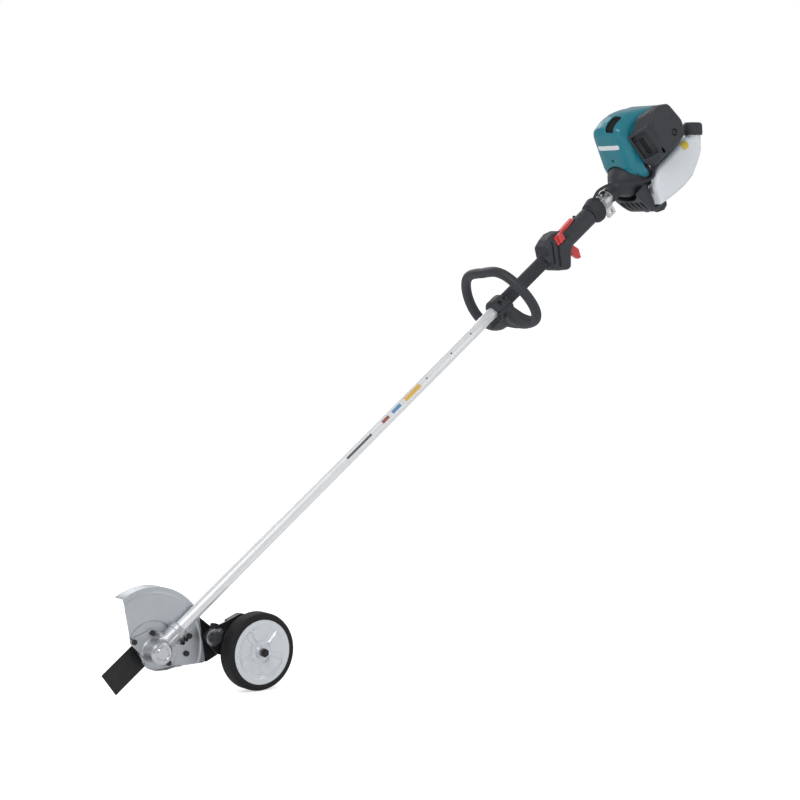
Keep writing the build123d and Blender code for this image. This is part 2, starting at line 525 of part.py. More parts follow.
# ---------------------------------------------------------------- engine
BORE, STROKE, ROD_L = 35.0, 26.0, 50.0
CYLINDER_X = 1556.0
CRANKPIN_Z = STROKE / 2    # piston at the top of its stroke
PISTON_Z = CRANKPIN_Z + ROD_L
CRANKPIN_R, GUDGEON_R = 5.0, 4.0
SPARK_R, SPARK_Z = 5.0, 95
INTAKE_Z = 65
CRANK_WEB = [(-13, -20), (13, -20), (17, -8), (9, 19), (4, 21), (-4, 21), (-9, 19), (-17, -8)]

crank = cyl_x(CRANK_R, 1497.0, 44.5)
web = prism_x(CRANK_WEB, 1541, 1548)
crank = crank + web + web.moved(Location((23, 0, 0)))
crank = crank + cyl_x(CRANKPIN_R, 1545, 22.0, 0, CRANKPIN_Z) + cyl_x(CRANK_R, 1571, 22.0)
shaft_part("crankshaft", crank)

rod = (cyl_x(9.0, 1551.5, 9.0, 0, CRANKPIN_Z) + cyl_x(7.0, 1551.5, 9.0, 0, PISTON_Z)
       + box(1553, 1559, -4, 4, CRANKPIN_Z + 5, PISTON_Z - 4))
rod = rod - cyl_x(CRANKPIN_R + FIT, 1540, 30, 0, CRANKPIN_Z)
shaft_part("connecting_rod", rod - cyl_x(GUDGEON_R + FIT, 1540, 30, 0, PISTON_Z))

piston = cyl(BORE / 2 - 0.05, (CYLINDER_X, 0, PISTON_Z - 10), Z, 24.0)
piston = piston - cyl(BORE / 2 - 3.0, (CYLINDER_X, 0, PISTON_Z - 11), Z, 19.0)
piston = piston + cyl_x(GUDGEON_R, CYLINDER_X - 15.5, 31.0, 0, PISTON_Z)
for groove in (7.5, 10.8):
    piston = piston - ring(BORE / 2 + 1, BORE / 2 - 1.0, (CYLINDER_X, 0, PISTON_Z + groove),
                           Z, 1.2)
shaft_part("piston", piston)

crankcase = cyl_x(31.0, 1528, 56.0) + box(1531, 1581, -25, 25, 0, 36)
crankcase = crankcase + cyl_x(42.8, 1528, 5.0)
crankcase = crankcase - cyl_x(25.0, 1538, 36.5) - cyl_x(CRANK_R + 0.1, 1520, 80)
shaft_part("crankcase", crankcase - cyl(BORE / 2 + 1.0, (CYLINDER_X, 0, 10), Z, 30))

cylinder = cyl(BORE / 2 + 3.5, (CYLINDER_X, 0, 36), Z, 52) + box(1533.2, 1581, -25, 25, 36, 41)
for i in range(7):         # cooling fins
    cylinder = cylinder + box(1530, 1582, -28, 28, 46 + 6 * i, 48.2 + 6 * i)
cylinder = cylinder + box(1534, 1580, -22, 22, 86, 104) + box(1538, 1576, -18, 18, 104, 118)
cylinder = cylinder - cyl(BORE / 2, (CYLINDER_X, 0, 30), Z, 48.5)
shaft_part("cylinder", cylinder - cyl_x(SPARK_R + FIT, 1568, 20, 0, SPARK_Z))
shaft_part("spark_plug", cyl_x(SPARK_R, 1570, 10.5, 0, SPARK_Z)
           + hexagon(16.0, (1580.2, 0, SPARK_Z), X, 6.0)
           + cyl_x(4.5, 1586, 14.0, 0, SPARK_Z) + cyl_x(7.0, 1596, 12.0, 0, SPARK_Z))

muffler = box(1534, 1582, 29.5, 54.0, 50, 88) + cyl_y(6.0, 50, 8.0, 1576, 60)
shaft_part("muffler", muffler - cyl_y(4.5, 45, 20, 1576, 60))
carburettor = box(1541, 1571, -52, -28.5, 50, 80) + cyl_y(14.0, -60, 10.0, CYLINDER_X, INTAKE_Z)
carburettor = carburettor - cyl_y(8.0, -61, 28.0, CYLINDER_X, INTAKE_Z)
shaft_part("carburettor", carburettor + cyl_x(4.0, 1536, 8.0, -45, 52))

# ---------------------------------------------------------------- engine cover
REEL_R = 22.0              # rope groove radius, so also the height of the rope exit
COVER_WALL = 2.6
LEAN_Z, LEAN = 34.0, 0.2   # above LEAN_Z the front wall leans back at this slope
# side view: x, z
COVER_SIDE = [(1446, 24), (1446, 104), (1492, 116), (1500, 125), (1515, 131), (1535, 132.5),
              (1582, 131), (1618, 119), (1640, 106), (1650, 86), (1652, 30), (1618, 7),
              (1540, 4), (1530, -2), (1521, -9), (1512, -9), (1500, -4), (1490, 3),
              (1480, 14), (1470, 22)]
HOLLOW_SIDE = [(1440, 20), (1440, 101.2), (1490.3, 114), (1498.6, 122.8), (1514.3, 128.5),
               (1534.8, 129.9), (1581.6, 128.4), (1617, 116.6), (1638.2, 104.2),
               (1647.4, 85.3), (1649.4, 30), (1649.4, -30), (1440, -30)]
# half plan: x, y; half sections: y, z
HALF_PLAN = [(1477, 12), (1477, 22), (1479, 33), (1484, 42), (1492, 50), (1504, 57),
             (1524, 60), (1690, 58)]
HALF_SECTION = [(60, -20), (60, 70), (56, 92), (42, 114), (26, 127), (9, 132.5)]
HALF_HOLLOW = [(57.4, -40), (57.4, 69.6), (53.6, 90.8), (40.2, 112), (25, 124.5), (8.6, 129.8)]


def both_sides(half):
    """Section (y, z) completed by its mirror image across y = 0."""
    return half + [(-y, z) for y, z in half[::-1]]


def leaning_plan(outline):
    upper = extruded([(x, y, LEAN_Z) for x, y in outline], (LEAN * 110, 0, 110))
    return prism_z(outline, -40, LEAN_Z) + upper


plan = HALF_PLAN + [(x, -y) for x, y in HALF_PLAN[::-1]]
outer = (prism_y(COVER_SIDE, -62, 62) & prism_x(both_sides(HALF_SECTION), 1440, 1652)
         & leaning_plan(plan))
inner = (prism_y(HOLLOW_SIDE, -62, 62) & prism_x(both_sides(HALF_HOLLOW), 1430, 1649.4)
         & leaning_plan(inset(plan, COVER_WALL)))
cover = outer - inner
cover = cover - turned([(0, 1440), (40.0, 1440), (40.0, 1483), (HOUSING_R + 0.6, 1489.6),
                        (HOUSING_R + 0.6, 1532), (0, 1532)])
cover = cover - box(1526, 1656, -56, 56, -30, 6)               # open underside
cover = cover - box(1524, 1604, -70, -50, 33, 100)             # air cleaner opening
cover = cover - cyl_x(43.0, 1586, 80)                          # starter opening
cover = cover - box(1560, 1588, 50, 70, 48, 72)                # exhaust opening
cover = cover - cyl_y(6.0, 50, 20, 1606, REEL_R)               # starter rope hole
cover = cover - box(1496, 1538, -28, -5, 108, 140)             # slot in the top
cover = cover - box(1509, 1536, -66, -42, -14, 26)             # notch for the throttle cable
shaft_part("engine_cover", cover)

# ---------------------------------------------------------------- air cleaner
# x, z of the cover's outer (-Y) face and of its face against the engine cover
CLEANER_OUTER = [(1529, 34), (1603, 28), (1616, 58), (1607, 110), (1598, 118), (1564, 134),
                 (1535, 118)]
CLEANER_INNER = [(1524, 6), (1640, 8), (1652, 36), (1640, 92), (1628, 102), (1596, 114),
                 (1508, 101)]
FRONT_CUT = [(1518, 40), (1516, 74), (1524, 76), (1526, 42)]


def cleaner_body(gap, outer_y, inner_y):
    faces = ((CLEANER_OUTER, outer_y), (CLEANER_INNER, inner_y))
    return loft([[(x, y, z) for x, z in (inset(face, gap) if gap else face)]
                 for face, y in faces])


cleaner = cleaner_body(0, -104, -60.4) - cleaner_body(3.0, -101, -57)
shaft_part("air_cleaner_cover", cleaner - prism_y(FRONT_CUT, -95, -66))
shaft_part("air_filter", box(1548, 1600, -92, -68, 44, 100)
           + ring(15.0, 9.0, (CYLINDER_X, -68, INTAKE_Z), Y, 7.9))

# ---------------------------------------------------------------- fuel tank, cap and guard
TANK_WALL = 2.5
NECK = (1660.0, -50.0, -26.0)
TANK_SIDE = [(1539, -4), (1641, -1), (1679, -23), (1664, -48), (1648, -60), (1609, -80),
             (1575, -83), (1535, -80), (1496, -74), (1501, -39), (1512, -15)]      # x, z


def engine_recess(gap):
    """Space for the engine in the top of the tank, grown by a gap."""
    return (box(1400, 1642 + gap, -48.5 - gap, 46 + gap, -50 - gap, 30 + gap)
            + box(1400, 1760, -30 - gap, 80, -26 - gap, 30 + gap))


tank = prism_y(TANK_SIDE, -66, 54) - engine_recess(0)
tank_hollow = prism_y(inset(TANK_SIDE, TANK_WALL), -66 + TANK_WALL, 54 - TANK_WALL)
tank_hollow = tank_hollow - engine_recess(TANK_WALL)
neck = cyl(15.0, NECK, VERTICAL, 26.0)
tank = (tank + neck - tank_hollow) - cyl(12.0, step(NECK, VERTICAL, -8), VERTICAL, 60.0)
shaft_part("fuel_tank", tank)

cap_base = step(NECK, VERTICAL, 15.5)
fuel_cap = cyl(21.5, cap_base, VERTICAL, 27.0)
fuel_cap = fuel_cap - cyl(15.1, step(cap_base, VERTICAL, -1), VERTICAL, 11.6)
fuel_cap = fuel_cap + cyl(11.5, step(NECK, VERTICAL, 8.0), VERTICAL, 20.0)
cap_plane = Plane(origin=cap_base, z_dir=VERTICAL)
for i in range(16):        # grip flutes
    angle = 2 * pi * i / 16
    flute = cap_plane.from_local_coords((21.9 * cos(angle), 21.9 * sin(angle), -1))
    fuel_cap = fuel_cap - cyl(1.3, tuple(flute), VERTICAL, 22.0)
shaft_part("fuel_cap", fuel_cap)

# x, z, except the section, which is y, z
GUARD_SIDE = [(1453, -31), (1472, -79), (1487, -87), (1500, -92), (1513, -95), (1516, -84),
              (1494.5, -80.5), (1496, -60), (1500, -20), (1492, -16), (1462, -20)]
GUARD_SECTION = [(-46, -10), (-46, -62), (-32, -100), (32, -100), (46, -62), (46, -10)]
GUARD_FOOT = [(1480, -83), (1500, -90), (1510, -105), (1528, -112), (1541, -108), (1545, -98),
              (1541, -85), (1500, -82)]
GUARD_HOLLOW = [(1466, -52), (1474, -72), (1488, -79), (1490, -56), (1488, -40)]
guard = prism_y(GUARD_SIDE, -46, 46)
guard = guard & prism_x(GUARD_SECTION, 1440, 1560)
guard = guard + prism_y(GUARD_FOOT, -22, -9) + prism_y(GUARD_FOOT, 9, 22)
guard = guard - cyl_x(HOUSING_R + FIT, 1440, 100)
shaft_part("tank_guard", guard - prism_y(GUARD_HOLLOW, -42, 42))

# ---------------------------------------------------------------- recoil starter
REEL_PROFILE = [(9.2, 1600), (28, 1600), (28, 1602.5), (REEL_R, 1602.5), (REEL_R, 1609.5),
                (28, 1609.5), (28, 1612), (9.2, 1612)]
starter = cyl_x(42.0, 1586, 54.0) - cyl_x(38.0, 1585, 51.0)
starter = starter + ring(9.0, CRANK_R + 0.1, (1594, 0, 0), X, 44.0)
starter = starter + cyl_x(5.0, 1598.0, 40.0)
starter = starter - cyl_x(6.15, 1580, 15.0)
shaft_part("starter_housing", starter - cyl_y(3.0, 20, 40, 1606, REEL_R))
shaft_part("starter_reel", turned(REEL_PROFILE))
handle = cyl_x(6.5, 1584, 44.0, 72, REEL_R) + cyl_y(5.0, 61.0, 10.0, 1606, REEL_R)
shaft_part("starter_handle", handle - cyl_y(1.6, 55, 12, 1606, REEL_R))

# ---------------------------------------------------------------- write
os.makedirs("parts", exist_ok=True)
for name, shape in parts.items():
    export_step(shape, "parts/%s.step" % name)
print(len(parts), "nodes")
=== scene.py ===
"""Petrol edger: an engine at the upper end of a tilted tube, a gear case and a debris shield
round the arbor at its lower end, and a depth wheel beside them.

Pieces are modelled in millimetres in one of two frames, both centred on the arbor:
  shaft frame  x runs up along the tube, y across, z square to the tube and upward
  arbor frame  x level, y across, z straight up
shaft_to_row and arbor_to_row turn them into the scene's row frame, in metres, +Z up.
"""
import json
from math import sin, cos, radians, pi

import bpy
import numpy as np
from mathutils import Matrix, Vector


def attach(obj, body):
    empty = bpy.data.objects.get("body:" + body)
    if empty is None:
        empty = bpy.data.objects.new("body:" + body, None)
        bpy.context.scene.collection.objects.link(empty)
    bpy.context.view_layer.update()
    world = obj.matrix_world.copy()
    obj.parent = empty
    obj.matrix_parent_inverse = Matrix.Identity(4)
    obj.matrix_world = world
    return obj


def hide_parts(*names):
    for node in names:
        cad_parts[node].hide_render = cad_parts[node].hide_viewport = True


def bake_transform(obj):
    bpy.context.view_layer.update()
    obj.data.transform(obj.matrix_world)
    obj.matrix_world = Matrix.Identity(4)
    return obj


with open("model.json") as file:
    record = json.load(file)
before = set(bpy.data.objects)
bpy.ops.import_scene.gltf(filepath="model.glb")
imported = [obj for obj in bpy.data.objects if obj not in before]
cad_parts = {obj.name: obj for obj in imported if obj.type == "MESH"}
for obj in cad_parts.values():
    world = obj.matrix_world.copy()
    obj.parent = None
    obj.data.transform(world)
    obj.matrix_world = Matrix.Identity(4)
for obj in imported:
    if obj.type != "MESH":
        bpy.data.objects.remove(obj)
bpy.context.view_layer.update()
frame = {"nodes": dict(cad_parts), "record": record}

NODES = frame["nodes"]
FRAME_BODY = "machine_frame"

SHAFT_TILT = radians(36.95)     # the tube's rise above level
TILT_COS, TILT_SIN = cos(SHAFT_TILT), sin(SHAFT_TILT)
ROW_SHIFT_Y = 51.0              # the tube lies this far to -y of the row's origin
TUBE_BORE = 12.1                # radius left free round the tube by the field pieces
LATHE_BORE = 12.05              # the same for the lathed pieces
OFF = -99.0                     # value that keeps a clip from acting outside its region


# ------------------------------------------------------------------ frames
def shaft_to_row(points):
    x, y, z = np.asarray(points, float).T
    return np.stack([x * TILT_COS - z * TILT_SIN, y - ROW_SHIFT_Y,
                     x * TILT_SIN + z * TILT_COS], -1) / 1000.0


def arbor_to_row(points):
    x, y, z = np.asarray(points, float).T
    return np.stack([x, y - ROW_SHIFT_Y, z], -1) / 1000.0


# ------------------------------------------------------------------ distance fields
# A field gives the distance to a surface at x, y, z, negative inside.
def length(*parts):
    return np.sqrt(sum(part * part for part in parts))


def ease(x):
    """Smooth step from 0 at x = 0 to 1 at x = 1."""
    x = np.clip(x, 0, 1)
    return x * x * (3 - 2 * x)


def along(x, y, z, origin, axis):
    """Distance from the origin measured along a unit axis."""
    return (x - origin[0]) * axis[0] + (y - origin[1]) * axis[1] + (z - origin[2]) * axis[2]


def join(first, second, blend=0):
    """Union, with a fillet about blend wide."""
    if blend <= 0:
        return np.minimum(first, second)
    near = np.maximum(blend - np.abs(first - second), 0) / blend
    return np.minimum(first, second) - near * near * blend * 0.25


def clip(first, second, blend=0):
    """Intersection, with the edge rounded over blend."""
    return -join(-first, -second, blend)


def cut(dist, tool, blend=0):
    """Take the tool away from the body."""
    return clip(dist, -tool, blend)


def polygon(across, up, points):
    """Plane distance to a closed outline."""
    points = [np.array(point, float) for point in points]
    squared, inside = np.inf, False
    for i, start in enumerate(points):
        end = points[i - 1]
        edge_a, edge_b = end[0] - start[0], end[1] - start[1]
        off_a, off_b = across - start[0], up - start[1]
        part = (off_a * edge_a + off_b * edge_b) / max(edge_a * edge_a + edge_b * edge_b, 1e-12)
        part = np.clip(part, 0, 1)
        gap_a, gap_b = off_a - edge_a * part, off_b - edge_b * part
        squared = np.minimum(squared, gap_a * gap_a + gap_b * gap_b)
        above = up >= start[1]
        below = up < end[1]
        turn = edge_a * off_b > edge_b * off_a
        inside = inside ^ ((above & below & turn) | (~above & ~below & ~turn))
    return np.where(inside, -1.0, 1.0) * np.sqrt(squared)


def slab(plane_dist, height, start, end, rounding=0.0):
    """Plane field extruded from start to end of height, edges rounded."""
    side = plane_dist + rounding
    cap = np.abs(height - (start + end) / 2) - (end - start) / 2 + rounding
    return (np.minimum(np.maximum(side, cap), 0)
            + length(np.maximum(side, 0), np.maximum(cap, 0)) - rounding)


def box(x, y, z, low, high, rounding=0.0):
    """Box between two corners, edges rounded."""
    gaps = [np.abs(value - (start + end) / 2) - (end - start) / 2 + rounding
            for value, start, end in zip((x, y, z), low, high)]
    outside = length(*[np.maximum(gap, 0) for gap in gaps])
    return (outside + np.minimum(np.maximum(gaps[0], np.maximum(gaps[1], gaps[2])), 0)
            - rounding)


def cylinder(x, y, z, base, axis, start, end, radius, rounding=0.0):
    """Cylinder from start to end along the axis, measured from the base point."""
    axis = np.array(axis, float)
    axis = axis / np.linalg.norm(axis)
    height = along(x, y, z, base, axis)
    off_x, off_y, off_z = x - base[0], y - base[1], z - base[2]
    squared = off_x * off_x + off_y * off_y + off_z * off_z - height * height
    return slab(np.sqrt(np.maximum(squared, 0)) - radius, height, start, end, rounding)


def capsule(x, y, z, start, end, radius):
    start, end = np.array(start, float), np.array(end, float)
    edge = end - start
    off_x, off_y, off_z = x - start[0], y - start[1], z - start[2]
    part = (off_x * edge[0] + off_y * edge[1] + off_z * edge[2]) / max(edge @ edge, 1e-9)
    part = np.clip(part, 0, 1)
    return length(off_x - edge[0] * part, off_y - edge[1] * part, off_z - edge[2] * part) - radius


def gradient(field, points, reach):
    x, y, z = points.T
    return np.stack([field(x + reach, y, z) - field(x - reach, y, z),
                     field(x, y + reach, z) - field(x, y - reach, z),
                     field(x, y, z + reach) - field(x, y, z - reach)], -1) / (2 * reach)


# A grid cell's corners as steps along x, y, z, and its edges as pairs of corners.
CORNERS = np.array([(i, j, k) for i in (0, 1) for j in (0, 1) for k in (0, 1)])
CELL_EDGES = [(0, 1), (2, 3), (4, 5), (6, 7), (0, 2), (1, 3), (4, 6), (5, 7),
              (0, 4), (1, 5), (2, 6), (3, 7)]


def surface_net(field, low, high, step):
    """Quad surface of a field sampled on a grid: vertices and faces."""
    axes = [np.arange(low[i] - 1.5 * step, high[i] + 2.5 * step, step) for i in range(3)]
    dist = np.broadcast_to(field(*np.ix_(*axes)), [len(axis) for axis in axes])
    dist = dist.astype(np.float32)
    inside = dist < 0
    cells_x, cells_y, cells_z = [size - 1 for size in dist.shape]
    count = np.zeros((cells_x, cells_y, cells_z), np.int8)
    for i, j, k in CORNERS:
        count += inside[i:cells_x + i, j:cells_y + j, k:cells_z + k]
    crossed = (count > 0) & (count < 8)
    cell = np.nonzero(crossed)
    vertex_index = np.full(crossed.shape, -1, np.int64)
    vertex_index[cell] = np.arange(len(cell[0]))

    # One vertex per crossed cell, at the mean of the crossings on its edges.
    values = [dist[cell[0] + i, cell[1] + j, cell[2] + k].astype(float) for i, j, k in CORNERS]
    place = np.zeros((len(cell[0]), 3))
    crossings = np.zeros(len(cell[0]))
    for start, end in CELL_EDGES:
        first, second = values[start], values[end]
        hit = (first < 0) != (second < 0)
        part = np.where(hit, first / np.where(hit, first - second, 1), 0)
        point = CORNERS[start][None, :] + part[:, None] * (CORNERS[end] - CORNERS[start])[None, :]
        place += point * hit[:, None]
        crossings += hit
    place /= crossings[:, None]
    vertices = np.stack([axes[i][cell[i]] for i in range(3)], -1) + place * step

    # One face per grid edge that passes through the surface.
    faces = []
    for axis in range(3):
        first_slice = [slice(1, -1)] * 3
        second_slice = [slice(1, -1)] * 3
        first_slice[axis] = slice(0, -1)
        second_slice[axis] = slice(1, None)
        first, second = inside[tuple(first_slice)], inside[tuple(second_slice)]
        found = np.argwhere(first != second)
        leaving = first[tuple(found.T)]
        across, up = [(1, 2), (2, 0), (0, 1)][axis]
        found[:, [across, up]] += 1
        ring = []
        for step_across, step_up in ((-1, -1), (0, -1), (0, 0), (-1, 0)):
            corner = found.copy()
            corner[:, across] += step_across
            corner[:, up] += step_up
            ring.append(vertex_index[tuple(corner.T)])
        quads = np.stack(ring, -1)
        quads[~leaving] = quads[~leaving][:, ::-1]
        faces.append(quads)

    # Two passes pull the vertices onto the true surface.
    for _ in range(2):
        dist = field(*vertices.T)
        slope = gradient(field, vertices, step * 0.05)
        steepness = np.maximum((slope * slope).sum(-1), 0.2)
        move = -(dist / steepness)[:, None] * slope
        size = np.linalg.norm(move, axis=1, keepdims=True)
        move *= np.minimum(1, 0.45 * step / np.maximum(size, 1e-9))
        vertices = vertices + move
    return vertices, np.concatenate(faces)


# ------------------------------------------------------------------ mesh builders
def add_mesh(name, vertices, faces, material, body=FRAME_BODY, part=None, slot=None, sharp=None):
    """Smooth mesh that rides on a body and may stand in for a CAD part.

    faces is an array of quads, or a list that may hold larger faces; edges sharper than
    sharp degrees stay hard.
    """
    mesh = bpy.data.meshes.new(name)
    if isinstance(faces, list):
        mesh.from_pydata(vertices.tolist(), [], faces)
    else:
        mesh.vertices.add(len(vertices))
        mesh.vertices.foreach_set("co", vertices.ravel())
        mesh.loops.add(faces.size)
        mesh.loops.foreach_set("vertex_index", faces.ravel().astype(np.int32))
        mesh.polygons.add(len(faces))
        starts = np.arange(0, faces.size, faces.shape[1], dtype=np.int32)
        mesh.polygons.foreach_set("loop_start", starts)
        mesh.update(calc_edges=True)
    mesh.validate()
    mesh.update()
    mesh.polygons.foreach_set("use_smooth", [True] * len(mesh.polygons))
    if sharp is not None:
        mesh.set_sharp_from_angle(angle=radians(sharp))
    piece = bpy.data.objects.new(name, mesh)
    bpy.context.scene.collection.objects.link(piece)
    mesh.materials.append(material)
    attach(piece, body)
    if part:
        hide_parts(part)


def add_field(name, field, low, high, step, material, part=None, slot=None,
              to_row=shaft_to_row):
    """Mesh of a field between two corners, with the given grid step."""
    vertices, faces = surface_net(field, low, high, step)
    add_mesh(name, to_row(vertices), faces, material, part=part, slot=slot)


def ring_faces(rings, segments, closed=True):
    """Quads between successive rings of vertices, last to first as well when closed."""
    faces = []
    for i in range(rings if closed else rings - 1):
        this, following = i * segments, (i + 1) % rings * segments
        for j in range(segments):
            k = (j + 1) % segments
            faces.append((this + j, this + k, following + k, following + j))
    return faces


def add_lathe(name, profile, segments, base, axis, material, to_row=shaft_to_row, **options):
    """Closed (radius, height) profile turned about a unit axis square to z."""
    base, axis = np.array(base, float), np.array(axis, float)
    side = np.cross(axis, [0, 0, 1.0])
    up = np.cross(axis, side)
    turn = np.linspace(0, 2 * pi, segments, endpoint=False)
    vertices = [base + axis * height
                + radius * (np.cos(turn)[:, None] * side + np.sin(turn)[:, None] * up)
                for radius, height in profile]
    add_mesh(name, to_row(np.concatenate(vertices)),
             np.array(ring_faces(len(profile), segments)), material, **options)


def round_profile(points, size, steps=3):
    """Closed profile with every corner turned into a small arc."""
    points = [np.array(point, float) for point in points]
    rounded = []
    for i, corner in enumerate(points):
        back, ahead = points[i - 1] - corner, points[(i + 1) % len(points)] - corner
        back_length, ahead_length = np.linalg.norm(back), np.linalg.norm(ahead)
        reach = min(size, back_length * 0.45, ahead_length * 0.45)
        back, ahead = back / back_length * reach, ahead / ahead_length * reach
        for j in range(steps + 1):
            part = j / steps
            rounded.append(tuple(corner + back * (1 - part) ** 2 + ahead * part ** 2))
    return rounded


def smooth_path(points, steps):
    """Catmull-Rom curve through the points."""
    points = np.asarray(points, float)
    points = np.vstack([2 * points[0] - points[1], points, 2 * points[-1] - points[-2]])
    path = []
    for i in range(1, len(points) - 2):
        before, start, end, after = points[i - 1:i + 3]
        for j in range(steps):
            t = j / steps
            path.append(0.5 * ((2 * start) + (end - before) * t
                               + (2 * before - 5 * start + 4 * end - after) * t * t
                               + (3 * start - before - 3 * end + after) * t ** 3))
    path.append(points[-2])
    return np.array(path)


def tube_mesh(path, radius, segments, reference):
    """Capped tube along a path; reference is any direction off the path's start."""
    path = np.asarray(path, float)
    heading = np.gradient(path, axis=0)
    heading /= np.linalg.norm(heading, axis=1)[:, None]
    side = np.cross(heading[0], reference)
    side /= np.linalg.norm(side)
    turn = np.linspace(0, 2 * pi, segments, endpoint=False)
    vertices = []
    for point, ahead in zip(path, heading):
        side = side - ahead * (side @ ahead)
        side /= np.linalg.norm(side)
        up = np.cross(ahead, side)
        vertices.append(point + radius * (np.cos(turn)[:, None] * side
                                          + np.sin(turn)[:, None] * up))
    faces = ring_faces(len(path), segments, closed=False)
    faces.append(tuple(range(segments))[::-1])
    faces.append(tuple((len(path) - 1) * segments + j for j in range(segments)))
    return np.concatenate(vertices), faces


def plate_faces(columns, rows):
    """Quads of a thin plate: a top grid, a bottom grid and the rim between them."""
    under = columns * rows
    faces = []
    for i in range(columns - 1):
        for j in range(rows - 1):
            corner = i * rows + j
            quad = (corner, corner + rows, corner + rows + 1, corner + 1)
            faces.append(quad)
            faces.append(tuple(under + quad[k] for k in (0, 3, 2, 1)))
    rim = ([i * rows for i in range(columns)]
           + [(columns - 1) * rows + j for j in range(1, rows)]
           + [i * rows + rows - 1 for i in range(columns - 2, -1, -1)]
           + list(range(rows - 2, 0, -1)))
    for i, this in enumerate(rim):
        after = rim[(i + 1) % len(rim)]
        faces.append((after, this, under + this, under + after))
    return np.array(faces)


def lay_on(field, points, normal, offset):
    """Slide points along the normal until they lie at the offset from the field."""
    for _ in range(10):
        dist = field(*points.T) - offset
        slope = gradient(field, points, 0.2) @ normal
        slope = np.where(np.abs(slope) < 0.3, np.where(slope < 0, -0.3, 0.3), slope)
        points = points - np.clip(dist / slope, -3, 3)[:, None] * normal
    return points


PATCH_ROWS = 10
PATCH_TOP, PATCH_BOTTOM = 0.6, -0.7     # the two faces, from the surface beneath


def add_patch(name, field, centre, side, up, half_width, half_height, corner, columns, material):
    """Thin plate with rounded corners, laid on the surface of a field."""
    side, up = np.array(side, float), np.array(up, float)
    side /= np.linalg.norm(side)
    up = up - side * (up @ side)
    up /= np.linalg.norm(up)
    normal = np.cross(side, up)
    across, height = np.meshgrid(np.linspace(-1, 1, columns), np.linspace(-1, 1, PATCH_ROWS),
                                 indexing="ij")
    height = height * half_height
    # Rows near the top and bottom are squeezed to round the corners.
    past = np.maximum(np.abs(height) - (half_height - corner), 0)
    across = across * (half_width - corner + np.sqrt(np.maximum(corner * corner - past * past, 0)))
    points = (np.array(centre, float) + across.ravel()[:, None] * side
              + height.ravel()[:, None] * up)
    vertices = np.concatenate([lay_on(field, points, normal, PATCH_TOP),
                               lay_on(field, points, normal, PATCH_BOTTOM)])
    add_mesh(name, shaft_to_row(vertices), plate_faces(columns, PATCH_ROWS), material, sharp=40)


# ------------------------------------------------------------------ materials
def feed(node, inputs):
    """Set a node's inputs: sockets are linked, anything else is a value."""
    for socket, value in inputs.items():
        if isinstance(value, bpy.types.NodeSocket):
            node.id_data.links.new(value, node.inputs[socket])
        else:
            node.inputs[socket].default_value = value


def add_node(tree, kind, inputs={}, **settings):
    node = tree.nodes.new("ShaderNode" + kind)
    for key, value in settings.items():
        setattr(node, key, value)
    feed(node, inputs)
    return node


def add_noise(tree, vector, scale, detail):
    return add_node(tree, "TexNoise", {"Scale": scale, "Detail": detail,
                                       "Vector": vector}).outputs["Fac"]


def map_range(tree, value, from_min=0.0, from_max=1.0, to_min=0.0, to_max=1.0):
    return add_node(tree, "MapRange", {"From Min": from_min, "From Max": from_max,
                                       "To Min": to_min, "To Max": to_max,
                                       "Value": value}).outputs[0]


def mix_colors(tree, factor, first, second, mode="MIX"):
    mix = add_node(tree, "Mix", data_type="RGBA", blend_type=mode)
    feed(mix, {"Factor": factor, "A": first, "B": second})
    return mix.outputs["Result"]


